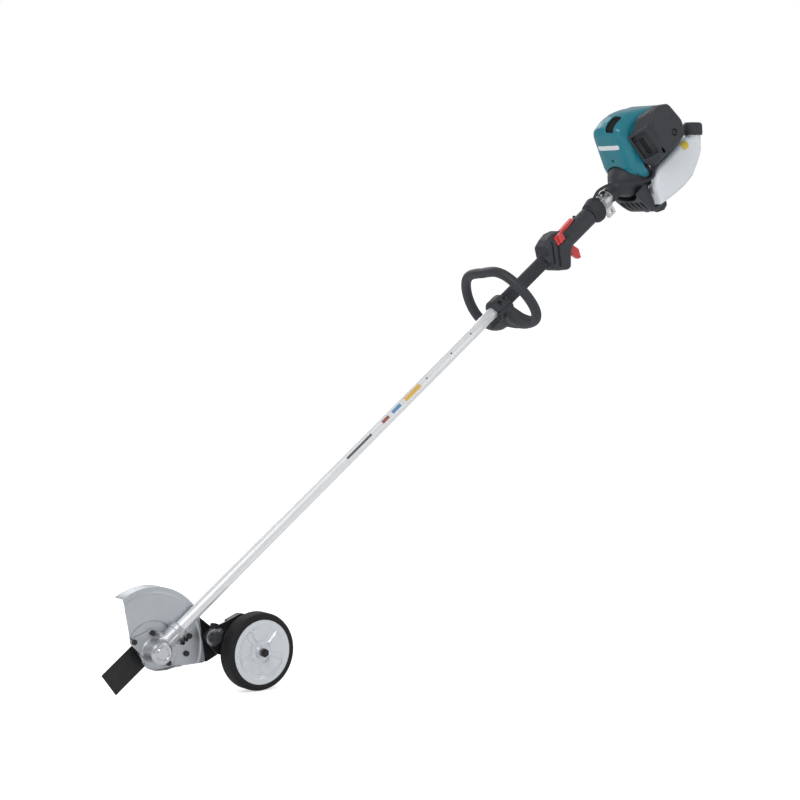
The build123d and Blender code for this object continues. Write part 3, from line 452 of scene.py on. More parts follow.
def make_material(name, color, rough, metal=0.0, rough_vary=0.08, vary=0.06, vary_scale=60.0,
                  bump=0.1, bump_scale=1500.0, bump_depth=0.0002, specular=0.5, coat=0.0,
                  subsurface=0.0, stretch=(1, 1, 1), scratch=0.0, speck=0.0, speck_color=None,
                  dirt=0.0, dirt_color=(0.2, 0.17, 0.13), wear=0.0, wear_color=None):
    """Principled surface with a mottled colour and a fine bump.

    stretch scales the noise along and across the tube; scratch, speck, dirt and wear are
    the strengths of optional layers. bump_depth is in metres.
    """
    surface = bpy.data.materials.new(name)
    surface.use_nodes = True
    tree = surface.node_tree
    tree.nodes.clear()
    output = add_node(tree, "OutputMaterial")
    shader = add_node(tree, "BsdfPrincipled")
    feed(output, {0: shader.outputs[0]})
    coords = add_node(tree, "TexCoord").outputs["Object"]
    mapped = add_node(tree, "Mapping", {"Rotation": (0, SHAFT_TILT, 0), "Scale": stretch,
                                        0: coords}).outputs[0]
    slow = add_noise(tree, mapped, scale=vary_scale, detail=5)
    fine = add_noise(tree, mapped, scale=bump_scale, detail=3)

    # Colour: slow variation, fine mottling, then the optional layers.
    base = np.array(color, float)
    paint = mix_colors(tree, slow, (*np.clip(base * (1 - vary), 0, 1), 1),
                       (*np.clip(base * (1 + vary) + vary * 0.01, 0, 1), 1))
    paint = mix_colors(tree, min(1.0, vary * 1.5), paint, fine, mode="MULTIPLY")
    if speck > 0:
        grains = add_node(tree, "TexVoronoi", {"Scale": 260, "Vector": mapped})
        amount = map_range(tree, grains.outputs["Color"], to_max=speck)
        paint = mix_colors(tree, amount, paint, (*speck_color, 1))
    if dirt > 0:
        patches = add_noise(tree, coords, scale=28, detail=8)
        amount = map_range(tree, patches, from_min=0.52, from_max=0.75, to_max=dirt)
        paint = mix_colors(tree, amount, paint, (*dirt_color, 1))
    if wear > 0:
        edges = add_node(tree, "NewGeometry").outputs["Pointiness"]
        amount = map_range(tree, edges, from_min=0.515, from_max=0.60, to_max=wear)
        amount = add_node(tree, "Math", {0: amount, 1: slow}, operation="MULTIPLY").outputs[0]
        paint = mix_colors(tree, amount, paint, (*wear_color, 1))

    # Roughness: follows the slow noise, with streaks along the tube.
    gloss = map_range(tree, slow, to_min=max(0.02, rough - rough_vary),
                      to_max=min(1.0, rough + rough_vary))
    if scratch > 0:
        streaks = add_node(tree, "Mapping", {"Rotation": (0, SHAFT_TILT, 0),
                                             "Scale": (1, 14, 14), 0: coords}).outputs[0]
        streaks = add_noise(tree, streaks, scale=90, detail=6)
        streaks = map_range(tree, streaks, from_min=0.45, from_max=0.7, to_max=scratch)
        gloss = add_node(tree, "Math", {0: gloss, 1: streaks}, operation="ADD").outputs[0]

    feed(shader, {"Base Color": paint, "Roughness": gloss, "Metallic": metal,
                  "Specular IOR Level": specular, "Coat Weight": coat, "Coat Roughness": 0.12})
    if subsurface > 0:
        feed(shader, {"Subsurface Weight": subsurface, "Subsurface Scale": 1.0,
                      "Subsurface Radius": (0.006, 0.006, 0.007)})
    relief = add_node(tree, "Bump", {"Strength": bump, "Distance": bump_depth, "Height": fine})
    feed(shader, {"Normal": relief.outputs[0]})
    surface["bump_node"] = relief.name      # carried on the material as a property
    return surface


CHARCOAL = make_material("charcoal_moulding", color=(0.036, 0.040, 0.048), rough=0.52, vary=0.10,
                         bump=0.25, bump_scale=2200, bump_depth=0.00012, rough_vary=0.06,
                         wear=0.25, wear_color=(0.10, 0.105, 0.115), specular=0.4)
RUBBER = make_material("grip_rubber", color=(0.034, 0.037, 0.044), rough=0.68, vary=0.10,
                       bump=0.3, bump_scale=1600, bump_depth=0.00015, specular=0.35)
TEAL = make_material("teal_shroud", color=(0.006, 0.205, 0.270), rough=0.30, vary=0.04,
                     bump=0.02, bump_scale=900, bump_depth=0.00006, coat=0.10, rough_vary=0.03)
TANK = make_material("tank_translucent", color=(0.79, 0.83, 0.87), rough=0.34, vary=0.03,
                     vary_scale=18, bump=0.12, bump_scale=700, subsurface=0.35)
RED = make_material("red_control", color=(0.70, 0.050, 0.050), rough=0.38, vary=0.05,
                    bump_scale=1600, bump_depth=0.0001)
CAST = make_material("cast_aluminium", color=(0.60, 0.62, 0.64), rough=0.42, metal=0.9,
                     vary=0.10, bump=0.45, bump_scale=1300, bump_depth=0.0003,
                     rough_vary=0.10, dirt=0.25, dirt_color=(0.22, 0.22, 0.22))
TUBE = make_material("anodised_tube", color=(0.90, 0.915, 0.93), rough=0.34, metal=0.60,
                     vary=0.03, bump=0.10, bump_scale=1200, bump_depth=0.00008,
                     stretch=(0.06, 1, 1), scratch=0.15)
ZINC = make_material("plated_sheet", color=(0.56, 0.59, 0.62), rough=0.36, metal=0.85,
                     vary=0.08, vary_scale=40, bump=0.25, bump_scale=700, bump_depth=0.00015,
                     rough_vary=0.10, speck=0.10, speck_color=(0.75, 0.78, 0.80), scratch=0.15)
STEEL = make_material("plated_steel", color=(0.56, 0.57, 0.58), rough=0.30, metal=0.95,
                      vary=0.08, bump=0.15, bump_scale=1800, bump_depth=0.00008)
GROUND = make_material("ground_steel", color=(0.62, 0.63, 0.65), rough=0.18, metal=1.0,
                       vary=0.04, bump=0.08, bump_scale=2000, bump_depth=0.00005,
                       stretch=(0.1, 1, 1))
BLACK = make_material("black_paint", color=(0.013, 0.013, 0.015), rough=0.32, vary=0.2,
                      bump=0.22, bump_scale=1100, bump_depth=0.00015, wear=0.5,
                      wear_color=(0.16, 0.16, 0.17), dirt=0.05, specular=0.28)
TYRE = make_material("tyre_rubber", color=(0.013, 0.013, 0.015), rough=0.55, vary=0.25,
                     bump=0.4, bump_scale=900, dirt=0.10, dirt_color=(0.04, 0.038, 0.036),
                     specular=0.25)
HUB = make_material("hub_silver", color=(0.70, 0.735, 0.77), rough=0.30, metal=0.45,
                    vary=0.04, bump=0.12, bump_depth=0.0001, coat=0.15)
NYLON = make_material("nylon_liner", color=(0.55, 0.52, 0.45), rough=0.5, vary=0.05)
FELT = make_material("filter_felt", color=(0.45, 0.40, 0.28), rough=0.95, vary=0.2, bump=0.8,
                     bump_scale=900, bump_depth=0.0006)
# Near-black painted shade, for the hollows of the cover window and the air-box slot.
PAINTED_SHADE = make_material("painted_recess_shade", color=(0.010, 0.011, 0.013), rough=0.8, vary=0.2, bump=0.2)
YELLOW = make_material("yellow_label", color=(0.75, 0.58, 0.03), rough=0.4, vary=0.05, bump=0.05)
AMBER = make_material("amber_label", color=(0.80, 0.50, 0.12), rough=0.4, vary=0.08, bump=0.05)
BRICK = make_material("brick_label", color=(0.33, 0.12, 0.08), rough=0.4, vary=0.08, bump=0.05)
BLUE = make_material("blue_label", color=(0.12, 0.30, 0.52), rough=0.4, vary=0.08, bump=0.05)
SLATE = make_material("slate_label", color=(0.10, 0.11, 0.12), rough=0.4, vary=0.08, bump=0.05)
WHITE = make_material("white_badge", color=(0.80, 0.84, 0.86), rough=0.35, vary=0.03, bump=0.05)

SLOT_MATERIALS = {
    "charcoal_plastic": CHARCOAL, "teal_plastic": TEAL, "tank_plastic": TANK,
    "red_plastic": RED, "cast_aluminium": CAST, "tube_aluminium": TUBE, "pressed_zinc": ZINC,
    "bright_steel": STEEL, "bearing_steel": GROUND, "black_steel": BLACK,
    "black_rubber": RUBBER, "tyre_rubber": TYRE, "hub_plastic": HUB, "filter_felt": FELT,
    "nylon_liner": NYLON}
NODE_SLOTS = {part["node"]: part["material_slot"] for part in frame["record"]["subparts"]}
for name, node in NODES.items():
    surface = SLOT_MATERIALS[NODE_SLOTS[name]]
    node.data.materials.clear()
    node.data.materials.append(surface)


# ------------------------------------------------------------------ stage (metres)
FLOOR_Z = -0.0922
FLOOR_HALF = 30


def build_floor():
    """Pale floor, lifted toward white where the camera sees it directly."""
    mesh = bpy.data.meshes.new("floor")
    mesh.from_pydata([(x * FLOOR_HALF, y * FLOOR_HALF, FLOOR_Z)
                      for x, y in ((-1, -1), (1, -1), (1, 1), (-1, 1))], [], [(0, 1, 2, 3)])
    floor = bpy.data.objects.new("floor", mesh)
    bpy.context.scene.collection.objects.link(floor)
    surface = bpy.data.materials.new("floor_pale")
    surface.use_nodes = True
    tree = surface.node_tree
    noise = add_node(tree, "TexNoise", {"Scale": 3.0})
    shade = map_range(tree, noise.outputs["Fac"], to_min=0.93, to_max=0.95)
    seen = add_node(tree, "LightPath").outputs["Is Camera Ray"]
    glow = add_node(tree, "Math", {0: seen, 1: 0.60}, operation="MULTIPLY")
    feed(tree.nodes["Principled BSDF"], {
        "Base Color": shade, "Roughness": 0.9,
        "Emission Color": (1, 1, 1, 1), "Emission Strength": glow.outputs[0]})
    mesh.materials.append(surface)


def build_world():
    """White to the camera; a dimmer grey-to-white gradient lights the scene."""
    world = bpy.data.worlds.new("studio")
    bpy.context.scene.world = world
    world.use_nodes = True
    tree = world.node_tree
    seen = add_node(tree, "LightPath").outputs["Is Camera Ray"]
    coords = add_node(tree, "TexCoord").outputs["Generated"]
    split = add_node(tree, "SeparateXYZ", {0: coords})
    ramp = add_node(tree, "ValToRGB", {0: split.outputs[2]})
    low, high = ramp.color_ramp.elements
    low.position, low.color = 0.0, (0.85, 0.86, 0.88, 1)
    high.position, high.color = 1.0, (1.0, 1.0, 1.0, 1)
    color = mix_colors(tree, seen, ramp.outputs[0], (1, 1, 1, 1))
    strength = add_node(tree, "Mix", data_type="FLOAT")
    feed(strength, {"Factor": seen, "A": 0.55, "B": 1.0})
    feed(tree.nodes["Background"], {0: color, 1: strength.outputs["Result"]})


def add_light(name, location, target, size, power):
    light = bpy.data.lights.new(name, "AREA")
    light.shape = "SQUARE"
    light.size = size
    light.energy = power
    lamp = bpy.data.objects.new(name, light)
    lamp.location = location
    aim = Vector(target) - Vector(location)
    lamp.rotation_euler = aim.to_track_quat("-Z", "Y").to_euler()
    bpy.context.scene.collection.objects.link(lamp)


CAMERA_TURN = radians(-37.527)      # about z, from looking along +y
CAMERA_RISE = radians(4.423)        # height angle of the camera over its target
CAMERA_PLACE = (-2.06706, -3.43817 - ROW_SHIFT_Y / 1000, 0.77928)


def build_camera():
    data = bpy.data.cameras.new("camera")
    data.sensor_width = 36
    data.sensor_height = 36
    data.lens = 97.3404
    data.clip_end = 100
    camera = bpy.data.objects.new("camera", data)
    turn_sin, turn_cos = sin(CAMERA_TURN), cos(CAMERA_TURN)
    rise_sin, rise_cos = sin(CAMERA_RISE), cos(CAMERA_RISE)
    right = (turn_cos, turn_sin, 0)
    up = (-turn_sin * rise_sin, turn_cos * rise_sin, rise_cos)
    back = (turn_sin * rise_cos, -turn_cos * rise_cos, rise_sin)
    pose = Matrix((right, up, back)).transposed().to_4x4()
    pose.translation = CAMERA_PLACE
    camera.matrix_world = pose
    bpy.context.scene.collection.objects.link(camera)
    bpy.context.scene.camera = camera


build_floor()
build_world()
add_light("key", location=(-1.6, -1.6, 2.6), target=(0.6, 0, 0.5), size=1.4, power=42)
add_light("fill", location=(2.4, -2.2, 1.4), target=(0.7, 0, 0.5), size=1.8, power=8)
add_light("rim", location=(1.2, 2.4, 2.2), target=(0.7, 0, 0.5), size=1.6, power=18)
build_camera()
bpy.context.scene.view_settings.view_transform = "Standard"

# ------------------------------------------------------------------ engine cover
# Side outline (x, z)
COVER_SIDE = [(1446, 24), (1446, 104), (1490, 116), (1500, 126), (1515, 133), (1534, 134.5),
              (1556, 129), (1590, 113), (1630, 95), (1648, 78), (1652, 30), (1618, 7),
              (1540, 4), (1530, -2), (1521, -9), (1512, -9), (1500, -4), (1490, 3),
              (1480, 14), (1470, 22)]
# Plan outline (x, y), mirrored in y
COVER_PLAN = [(1477, 0.5), (1477, 20), (1479, 33), (1484, 42), (1492, 50), (1504, 57),
              (1524, 60), (1690, 58)]
COVER_PLAN += [(x, -y) for x, y in COVER_PLAN[::-1]]
# Cross-section (y, z), mirrored in y
COVER_SECTION = [(60, -20), (60, 70), (56, 92), (43, 115), (28, 129), (11, 136)]
COVER_SECTION += [(-y, z) for y, z in COVER_SECTION[::-1]]
COVER_WALL = 2.6
STARTER_X, STARTER_Z = 1606, 22         # rope hole on the +y side
COVER_SCREW_Z = 53
# Openings: low corner, high corner, rounding
COVER_OPENINGS = [
    ((1526, -56, -60), (1660, 56, 6), 2),           # underside
    ((1524, -75, 33), (1604, -50, 100), 3),         # behind the air cleaner
    ((1496, -28, 104), (1538, -5, 145), 5),         # window
    ((1509, -70, -14), (1536, -42, 26), 3),         # notch where the cable passes
]
COVER_OPENINGS += [((1560, 50, 48.5 + 5 * i), (1588, 70, 51 + 5 * i), 1.0) for i in range(5)]
TOP_SLOTS = [((1556 + 13 * i, 16, 120), (1562 + 13 * i, 40, 145), 2.5) for i in range(4)]


def cover_skin(x, y, z):
    """Outer surface of the cover, without openings."""
    dist = clip(polygon(x, z, COVER_SIDE), polygon(y, z, COVER_SECTION), 14)
    lean = x - 0.2 * np.maximum(z - 34.0, 0)
    dist = clip(dist, polygon(lean, y, COVER_PLAN), 9)
    # The flanks step in by 1.2.
    flank = (lean - 1496) * 0.6 + (np.abs(y) - 53) * 0.8
    return dist + 1.2 * (ease(flank / 2.5) * ease((112 - z) / 10) * ease((z - 8) / 6))


def cover_shell(x, y, z):
    skin = cover_skin(x, y, z)
    dist = cut(skin, skin + COVER_WALL)
    radius = length(y, z)
    bore = 40.0 + 6.7 * np.clip((x - 1483) / 6.6, 0, 1)
    dist = clip(dist, np.where(x < 1532, bore - radius, OFF))
    dist = clip(dist, np.where(x > 1586, 43.0 - radius, OFF))
    for low, high, rounding in COVER_OPENINGS:
        dist = cut(dist, box(x, y, z, low, high, rounding))
    dist = cut(dist, cylinder(x, y, z, (STARTER_X, 50, STARTER_Z), (0, 1, 0), 0, 20, 6.0))
    dist = cut(dist, cylinder(x, y, z, (1470, 0, COVER_SCREW_Z), (1, 0, 0), 0, 30, 3.0), 1.0)
    for low, high, rounding in TOP_SLOTS:
        dist = cut(dist, box(x, y, z, low, high, rounding))
    return dist


def cover_grille(x, y, z):
    """Sunken floor, side wall and three bars inside the window, all near black as painted shade.
    """
    skin = cover_skin(x, y, z)
    floor = clip(np.abs(skin + 7.5) - 1.0, box(x, y, z, (1494, -30, 96), (1540, -3, 140), 5))
    frame_box = box(x, y, z, (1494.6, -29.4, 70), (1539.4, -3.6, 155), 6)
    wall = clip(np.abs(frame_box) - 1.2, cut(skin + 2.8, skin + 8.5))
    dist = join(floor, wall)
    for i in range(3):
        bar = box(x, y, z, (1495, -24 + 7 * i, 70), (1539, -22 + 7 * i, 150), 0.8)
        dist = join(dist, clip(bar, cut(skin + 4.5, skin + 8)), 1.5)
    return dist


add_field("engine_cover_shell", cover_shell, (1448, -62, -12), (1656, 62, 134), 1.5, TEAL,
          part="engine_cover", slot="teal_plastic")
# The grille is coloured near black: painted shade inside the window.
add_field("cover_window_grille", cover_grille, (1492, -32, 92), (1542, -1, 134), 0.9, PAINTED_SHADE)
add_patch("cover_badge", cover_skin, centre=(1488, 0, 83), side=(0, -1, 0), up=(0.2, 0, 1),
          half_width=32, half_height=5.0, corner=3, columns=40, material=WHITE)
add_lathe("cover_front_screw",
          round_profile([(0.2, -1.5), (2.3, -1.5), (2.3, 0.6), (1.2, 1.0), (0.2, 1.0)], 0.3,
                        steps=2),
          24, (1482.5, 0, COVER_SCREW_Z), (-1, 0, 0), BLACK, sharp=40)

# ------------------------------------------------------------------ air cleaner cover
# Eight-sided frustum on the -y side; (x, z) corners of its foot and of its outer face
AIR_FOOT_Y, AIR_FACE_Y = -60.4, -104.0
AIR_FOOT = [(1506, 27), (1511, 100), (1545, 117.5), (1597, 113), (1638, 91), (1652, 36),
            (1641, 7), (1525, 3)]
AIR_FACE = [(1532, 38), (1540, 104), (1561, 123), (1570, 127), (1604, 111), (1616, 58),
            (1605, 28), (1538, 28)]
AIR_MIDDLE = np.array([1575, -80, 65.0])
KNOB_X, KNOB_Z = 1584, 52


def air_side_planes():
    """Point and outward normal of each sloping side."""
    foot = [np.array([x, AIR_FOOT_Y, z]) for x, z in AIR_FOOT]
    face = [np.array([x, AIR_FACE_Y, z]) for x, z in AIR_FACE]
    planes = []
    for i, start in enumerate(foot):
        j = (i + 1) % len(foot)
        normal = np.cross(foot[j] - start, (face[i] + face[j]) / 2 - start)
        normal /= np.linalg.norm(normal)
        if normal @ (start - AIR_MIDDLE) < 0:
            normal = -normal
        planes.append((start, normal))
    origin = (foot[0] + foot[1]) / 2
    slope = (face[0] + face[1]) / 2 - origin
    return planes, origin, slope / np.linalg.norm(slope)


# Local axes of the first side: across it from foot to face, up along it, and out of it
AIR_PLANES, AIR_ORIGIN, AIR_ACROSS = air_side_planes()
AIR_OUT = AIR_PLANES[0][1]
AIR_UP = np.cross(AIR_OUT, AIR_ACROSS)
if AIR_UP[2] < 0:
    AIR_UP = -AIR_UP


def air_local(x, y, z):
    return [along(x, y, z, AIR_ORIGIN, axis) for axis in (AIR_ACROSS, AIR_UP, AIR_OUT)]


def air_case(x, y, z):
    side = -np.inf
    for point, normal in AIR_PLANES:
        side = clip(side, along(x, y, z, point, normal), 5.0)
    dist = clip(side, AIR_FACE_Y - y, 7.0)
    dist = clip(dist, y - AIR_FOOT_Y)
    # Raised lip, recess and deeper slot on the first side
    local = air_local(x, y, z)
    dist = join(dist, box(*local, (-3, -35, -6), (50, 36, 7.0), 2.5), 2.0)
    dist = cut(dist, box(*local, (2.5, -27, -5.0), (38.5, 30, 12), 3.0), 1.2)
    dist = cut(dist, box(*local, (11, -25, -9.5), (21.5, 16, 12), 2.5), 0.8)
    # Groove round the sides
    dist = cut(dist, box(side, y, 0.0, (-1.0, -88.6, -1), (5, -87.2, 1), 0.2), 0.4)
    # Knob in its recess, with a driver slot
    dist = cut(dist, cylinder(x, y, z, (KNOB_X, -110, KNOB_Z), (0, 1, 0), 0, 11, 8.0), 1.5)
    knob = cylinder(x, y, z, (KNOB_X, -103.5, KNOB_Z), (0, 1, 0), 0, 10, 5.5, 1.0)
    dist = join(dist, knob, 0.5)
    dist = cut(dist, box(x, y, z, (KNOB_X - 6, -108, KNOB_Z - 1),
                         (KNOB_X + 6, -101.6, KNOB_Z + 1), 0.3), 0.3)
    # Short groove in the outer face
    return cut(dist, box(x, y, z, (1588, -108, 82), (1606, -102.8, 85), 1.0), 0.5)


# Near-black sheet at the bottom of the air-box slot: painted shade, not a part.
def air_slot_shade_field(x, y, z):
    return box(*air_local(x, y, z), (11.4, -24.6, -9.4), (21.1, 15.6, -6.2), 0.6)


# Painted shade: a near-black sheet laid in the slot's floor.
add_field("air_slot_painted_shade", air_slot_shade_field, (1490, -110, 20), (1560, -55, 122), 1.1, PAINTED_SHADE)
add_field("air_cleaner_case", air_case, (1500, -106, 1), (1654, -60, 131), 1.35, CHARCOAL,
          part="air_cleaner_cover", slot="charcoal_plastic")

# ------------------------------------------------------------------ fuel tank
# Side outline (x, z)
TANK_SIDE = [(1539, -4), (1641, -1), (1679, -23), (1664, -48), (1648, -60), (1609, -80),
             (1575, -83), (1535, -80), (1496, -74), (1501, -39), (1512, -15)]
PLUMB = (TILT_SIN, 0.0, TILT_COS)       # straight up, in the shaft frame
NECK = np.array([1660.0, -50.0, -26.0])


def tank_shell(x, y, z):
    outline = polygon(x, z, TANK_SIDE)
    dist = slab(outline + 1.0, y, -65, 53, 9.0) - 1.0
    dist = join(dist, slab(outline + 0.6, y, -8.2, -5.8, 0.8) - 0.8, 1.5)     # seam band
    dist = cut(dist, box(x, y, z, (1380, -48.5, -50), (1642, 46, 60), 3), 2.5)
    dist = cut(dist, box(x, y, z, (1380, -30, -26), (1760, 90, 60), 3), 2.5)
    # Filler neck with a collar, bored through
    dist = join(dist, cylinder(x, y, z, NECK, PLUMB, 0, 26, 15.0, 1.0), 6.0)
    dist = join(dist, cylinder(x, y, z, NECK, PLUMB, 12.5, 15.3, 17.5, 1.0), 1.0)
    return cut(dist, cylinder(x, y, z, NECK, PLUMB, -8, 60, 12.0))


add_field("fuel_tank_shell", tank_shell, (1494, -67, -85), (1682, 55, 8), 1.6, TANK,
          part="fuel_tank", slot="tank_plastic")
add_patch("tank_sticker", tank_shell, centre=(1624, -64, -10), side=(0.9, 0, -0.1),
          up=(0.1, -0.45, 0.9), half_width=9.0, half_height=6.0, corner=2, columns=16,
          material=YELLOW)

# ------------------------------------------------------------------ fuel cap
CAP_BASE = NECK + np.array(PLUMB) * 15.5
# (radius, height over the base)
CAP_PROFILE = [(15.3, 0), (21.5, 0), (21.8, 4), (20.9, 23), (18.0, 27.0), (6.0, 26.0),
               (4.5, 24.6), (0.3, 24.6), (0.3, 11.5), (15.3, 11.5)]
CAP_SEGMENTS = 144
CAP_RIBS = 24


def build_fuel_cap():
    """Cap turned about the plumb line, with ribs round its outer wall."""
    turn = np.linspace(0, 2 * pi, CAP_SEGMENTS, endpoint=False)
    level = np.array([TILT_COS, 0, -TILT_SIN])
    across = np.array([0, 1.0, 0])
    profile = round_profile(CAP_PROFILE, 1.4)
    vertices = []
    for radius, height in profile:
        wall = float(ease((radius - 17) / 3))
        rib = (0.75 * (0.5 + 0.5 * np.cos(turn * CAP_RIBS)) ** 2 * wall
               * float(ease((height - 1.5) / 3)) * float(ease((24.5 - height) / 3)))
        ribbed = radius - 0.8 * wall * float(ease((height - 1) / 2)) + rib
        vertices.append(CAP_BASE + np.array(PLUMB) * height
                        + (ribbed * np.cos(turn))[:, None] * level
                        + (ribbed * np.sin(turn))[:, None] * across)
    add_mesh("fuel_cap_ribbed", shaft_to_row(np.concatenate(vertices)),
             np.array(ring_faces(len(profile), CAP_SEGMENTS)), CHARCOAL, "tank_cap",
             part="fuel_cap", slot="charcoal_plastic", sharp=50)


build_fuel_cap()

# ------------------------------------------------------------------ tank guard
# Side outline (x, z), cross-section (y, z) and outline of the two feet (x, z)
GUARD_SIDE = [(1453, -31), (1472, -79), (1487, -87), (1500, -92), (1513, -95), (1516, -84),
              (1494.5, -80.5), (1496, -60), (1500, -20), (1492, -16), (1462, -20)]
GUARD_SECTION = [(-46, -10), (-46, -62), (-32, -100), (32, -100), (46, -62), (46, -10)]
GUARD_FOOT = [(1480, -83), (1500, -90), (1510, -105), (1528, -112), (1541, -108),
              (1545, -98), (1541, -85), (1500, -82)]
GUARD_SLOTS_Y = (-30, -15, 0, 15, 30)
GUARD_SLOT_HALF = 4.5


def tank_guard(x, y, z):
    dist = slab(polygon(x, z, GUARD_SIDE) + 0.5, y, -45.5, 45.5, 3.0) - 0.5
    dist = clip(dist, polygon(y, z, GUARD_SECTION), 5.0)
    foot = slab(polygon(x, z, GUARD_FOOT) + 0.5, np.abs(y), 9.5, 21.5, 3.0) - 0.5
    dist = join(dist, foot, 3.0)
    # Round opening for the clutch housing, then a slanting cut on the -x side
    dist = clip(dist, np.where(x > 1440, 46.05 - length(y, z), OFF))
    dist = cut(dist, (x - 1463) * 0.93 + (z + 31) * 0.37, 5.0)
    for slot_y in GUARD_SLOTS_Y:
        dist = cut(dist, box(x, y, z, (1440, slot_y - GUARD_SLOT_HALF, -76),
                             (1482, slot_y + GUARD_SLOT_HALF, -50), 2.0), 1.0)
    return dist


add_field("tank_guard_moulding", tank_guard, (1450, -47, -114), (1547, 47, -14), 1.5, CHARCOAL,
          part="tank_guard", slot="charcoal_plastic")

# ------------------------------------------------------------------ clutch housing
# (radius, x)
CLUTCH_PROFILE = [
    (LATHE_BORE, 1427), (17, 1427), (17.2, 1446), (19.5, 1452.5), (27.5, 1461), (36.2, 1472),
    (38.8, 1482), (46, 1489), (46, 1493), (45.2, 1494), (45.2, 1521), (46, 1522), (46, 1527),
    (43, 1527), (43, 1491), (35.8, 1484.5), (33.2, 1473.5), (14, 1466), (14, 1464.2),
    (LATHE_BORE, 1464.2)]
add_lathe("clutch_housing_cast", round_profile(CLUTCH_PROFILE, 2.0), 128, (0, 0, 0), (1, 0, 0),
          CHARCOAL, part="clutch_housing", slot="charcoal_plastic", sharp=45)

# ------------------------------------------------------------------ throttle cable
# (x, y, z) from the tube, round the -y side and into the cover
CABLE_POINTS = [(1380, -8, 24.8), (1384, -9, 26.5), (1400, -13, 33.5), (1420, -24, 33),
                (1440, -37, 27), (1458, -48, 14), (1474, -54, 2), (1490, -59, -7),
                (1506, -61.5, -9.5), (1518, -60.5, -5), (1526, -55.5, 8), (1531, -51, 24),
                (1534, -47.5, 37), (1537, -45, 47.4)]
CABLE_RADIUS = 3.3
vertices, faces = tube_mesh(smooth_path(CABLE_POINTS, 8), CABLE_RADIUS, 20,
                            reference=(0, 1, 0.01))
add_mesh("throttle_cable_sheath", shaft_to_row(vertices), faces, RUBBER,
         part="throttle_cable", slot="black_rubber")

# ------------------------------------------------------------------ throttle grip
# Side outline (x, z) and cross-section (y, z) of the block
GRIP_SIDE = [(1195, -20.6), (1197, 8), (1205.6, 30.7), (1220, 38), (1238, 41), (1258.6, 33),
             (1264.5, 22), (1264.5, -38.9), (1252, -51.9), (1226, -45), (1204.6, -31)]
GRIP_SECTION = [(-23, -46), (-17, -53), (17, -53), (23, -46), (23, 26), (14, 43), (-14, 43),
                (-23, 26)]
# Grooves in both flanks: start, end, half width
GRIP_GROOVES = [((1234, 0, 19), (1213, 0, -22), 3.6), ((1222, 0, 29), (1203, 0, -10), 2.6)]
# Pockets: low corner, high corner
GRIP_POCKETS = [((1262, -6.5, -60), (1302, 6.5, -12.2)),
                ((1262, -5.5, 12.2), (1317, 5.5, 60)),
                ((1232, -40, 11), (1265, -17.4, 35))]
# (x, z) of the screw holes, which open to +y
GRIP_SCREWS = [(1212.0, 20.0), (1212.0, -24.0), (1246.0, -40.0), (1330.0, -15.9),
               (1330.0, 15.9)]
HALF_GAP = 0.12         # each half stops this short of the middle plane


def throttle_grip(x, y, z):
    flank = np.abs(y)
    radius = length(y, z)
    dist = clip(polygon(x, z, GRIP_SIDE), polygon(y, z, GRIP_SECTION), 8)
    dist = clip(dist, (x - 0.72 * z + 1.13 * flank - 1291) / 1.67, 4)
    dist = join(dist, slab(radius - 20.0, x, 1240, 1354, 1.5), 12)
    for start, end, half_width in GRIP_GROOVES:
        groove = clip(capsule(x, 0.0, z, start, end, half_width), 18.5 - flank)
        dist = cut(dist, groove, 1.6)
    # Boss on the -y side and collar round the tube
    dist = join(dist, cylinder(x, y, z, (1196.0, -12.5, 5.5), (0, -1, 0), 0, 10.5, 7.0, 1.8), 2.0)
    dist = join(dist, slab(radius - 16.2, x, 1194.8, 1214, 1.0), 2.0)
    dist = clip(dist, TUBE_BORE - radius)
    for low, high in GRIP_POCKETS:
        dist = cut(dist, box(x, y, z, low, high, 1.5), 0.8)
    for screw_x, screw_z in GRIP_SCREWS:
        dist = cut(dist, cylinder(x, y, z, (screw_x, 12, screw_z), (0, 1, 0), 0, 18, 3.8), 0.5)
    return dist


def build_grip_half(hand, sign, low_y, high_y):
    """The half on the -y side for sign 1, on the +y side for sign -1."""
    def half(x, y, z):
        return clip(throttle_grip(x, y, z), sign * y + HALF_GAP, 0.5)
    add_field("throttle_grip_" + hand, half, (1186, low_y, -55), (1356, high_y, 44), 1.15,
              CHARCOAL, part="throttle_housing_" + hand, slot="charcoal_plastic")


build_grip_half("left", sign=1, low_y=-25, high_y=1)
build_grip_half("right", sign=-1, low_y=-1, high_y=25)

# ------------------------------------------------------------------ grip sleeve
# (radius, x)
SLEEVE_PROFILE = [(LATHE_BORE, 1063), (14.2, 1063), (15.0, 1064.5), (15.0, 1193.5),
                  (14.4, 1194.5), (LATHE_BORE, 1194.5)]
add_lathe("grip_sleeve_moulding", round_profile(SLEEVE_PROFILE, 0.8), 96, (0, 0, 0), (1, 0, 0),
          RUBBER, part="grip_sleeve", slot="black_rubber", sharp=50)

# ------------------------------------------------------------------ damper
DAMPER_X = 1375.0
DAMPER_LEAN = radians(17.0)
# (distance along the leaning axis, radius)
DAMPER_PROFILE = [(-20, -5), (-20, 20.5), (-15, 22), (-10, 25), (-2, 28.5), (2, 29.5),
                  (7, 28), (12, 21), (12, -5)]


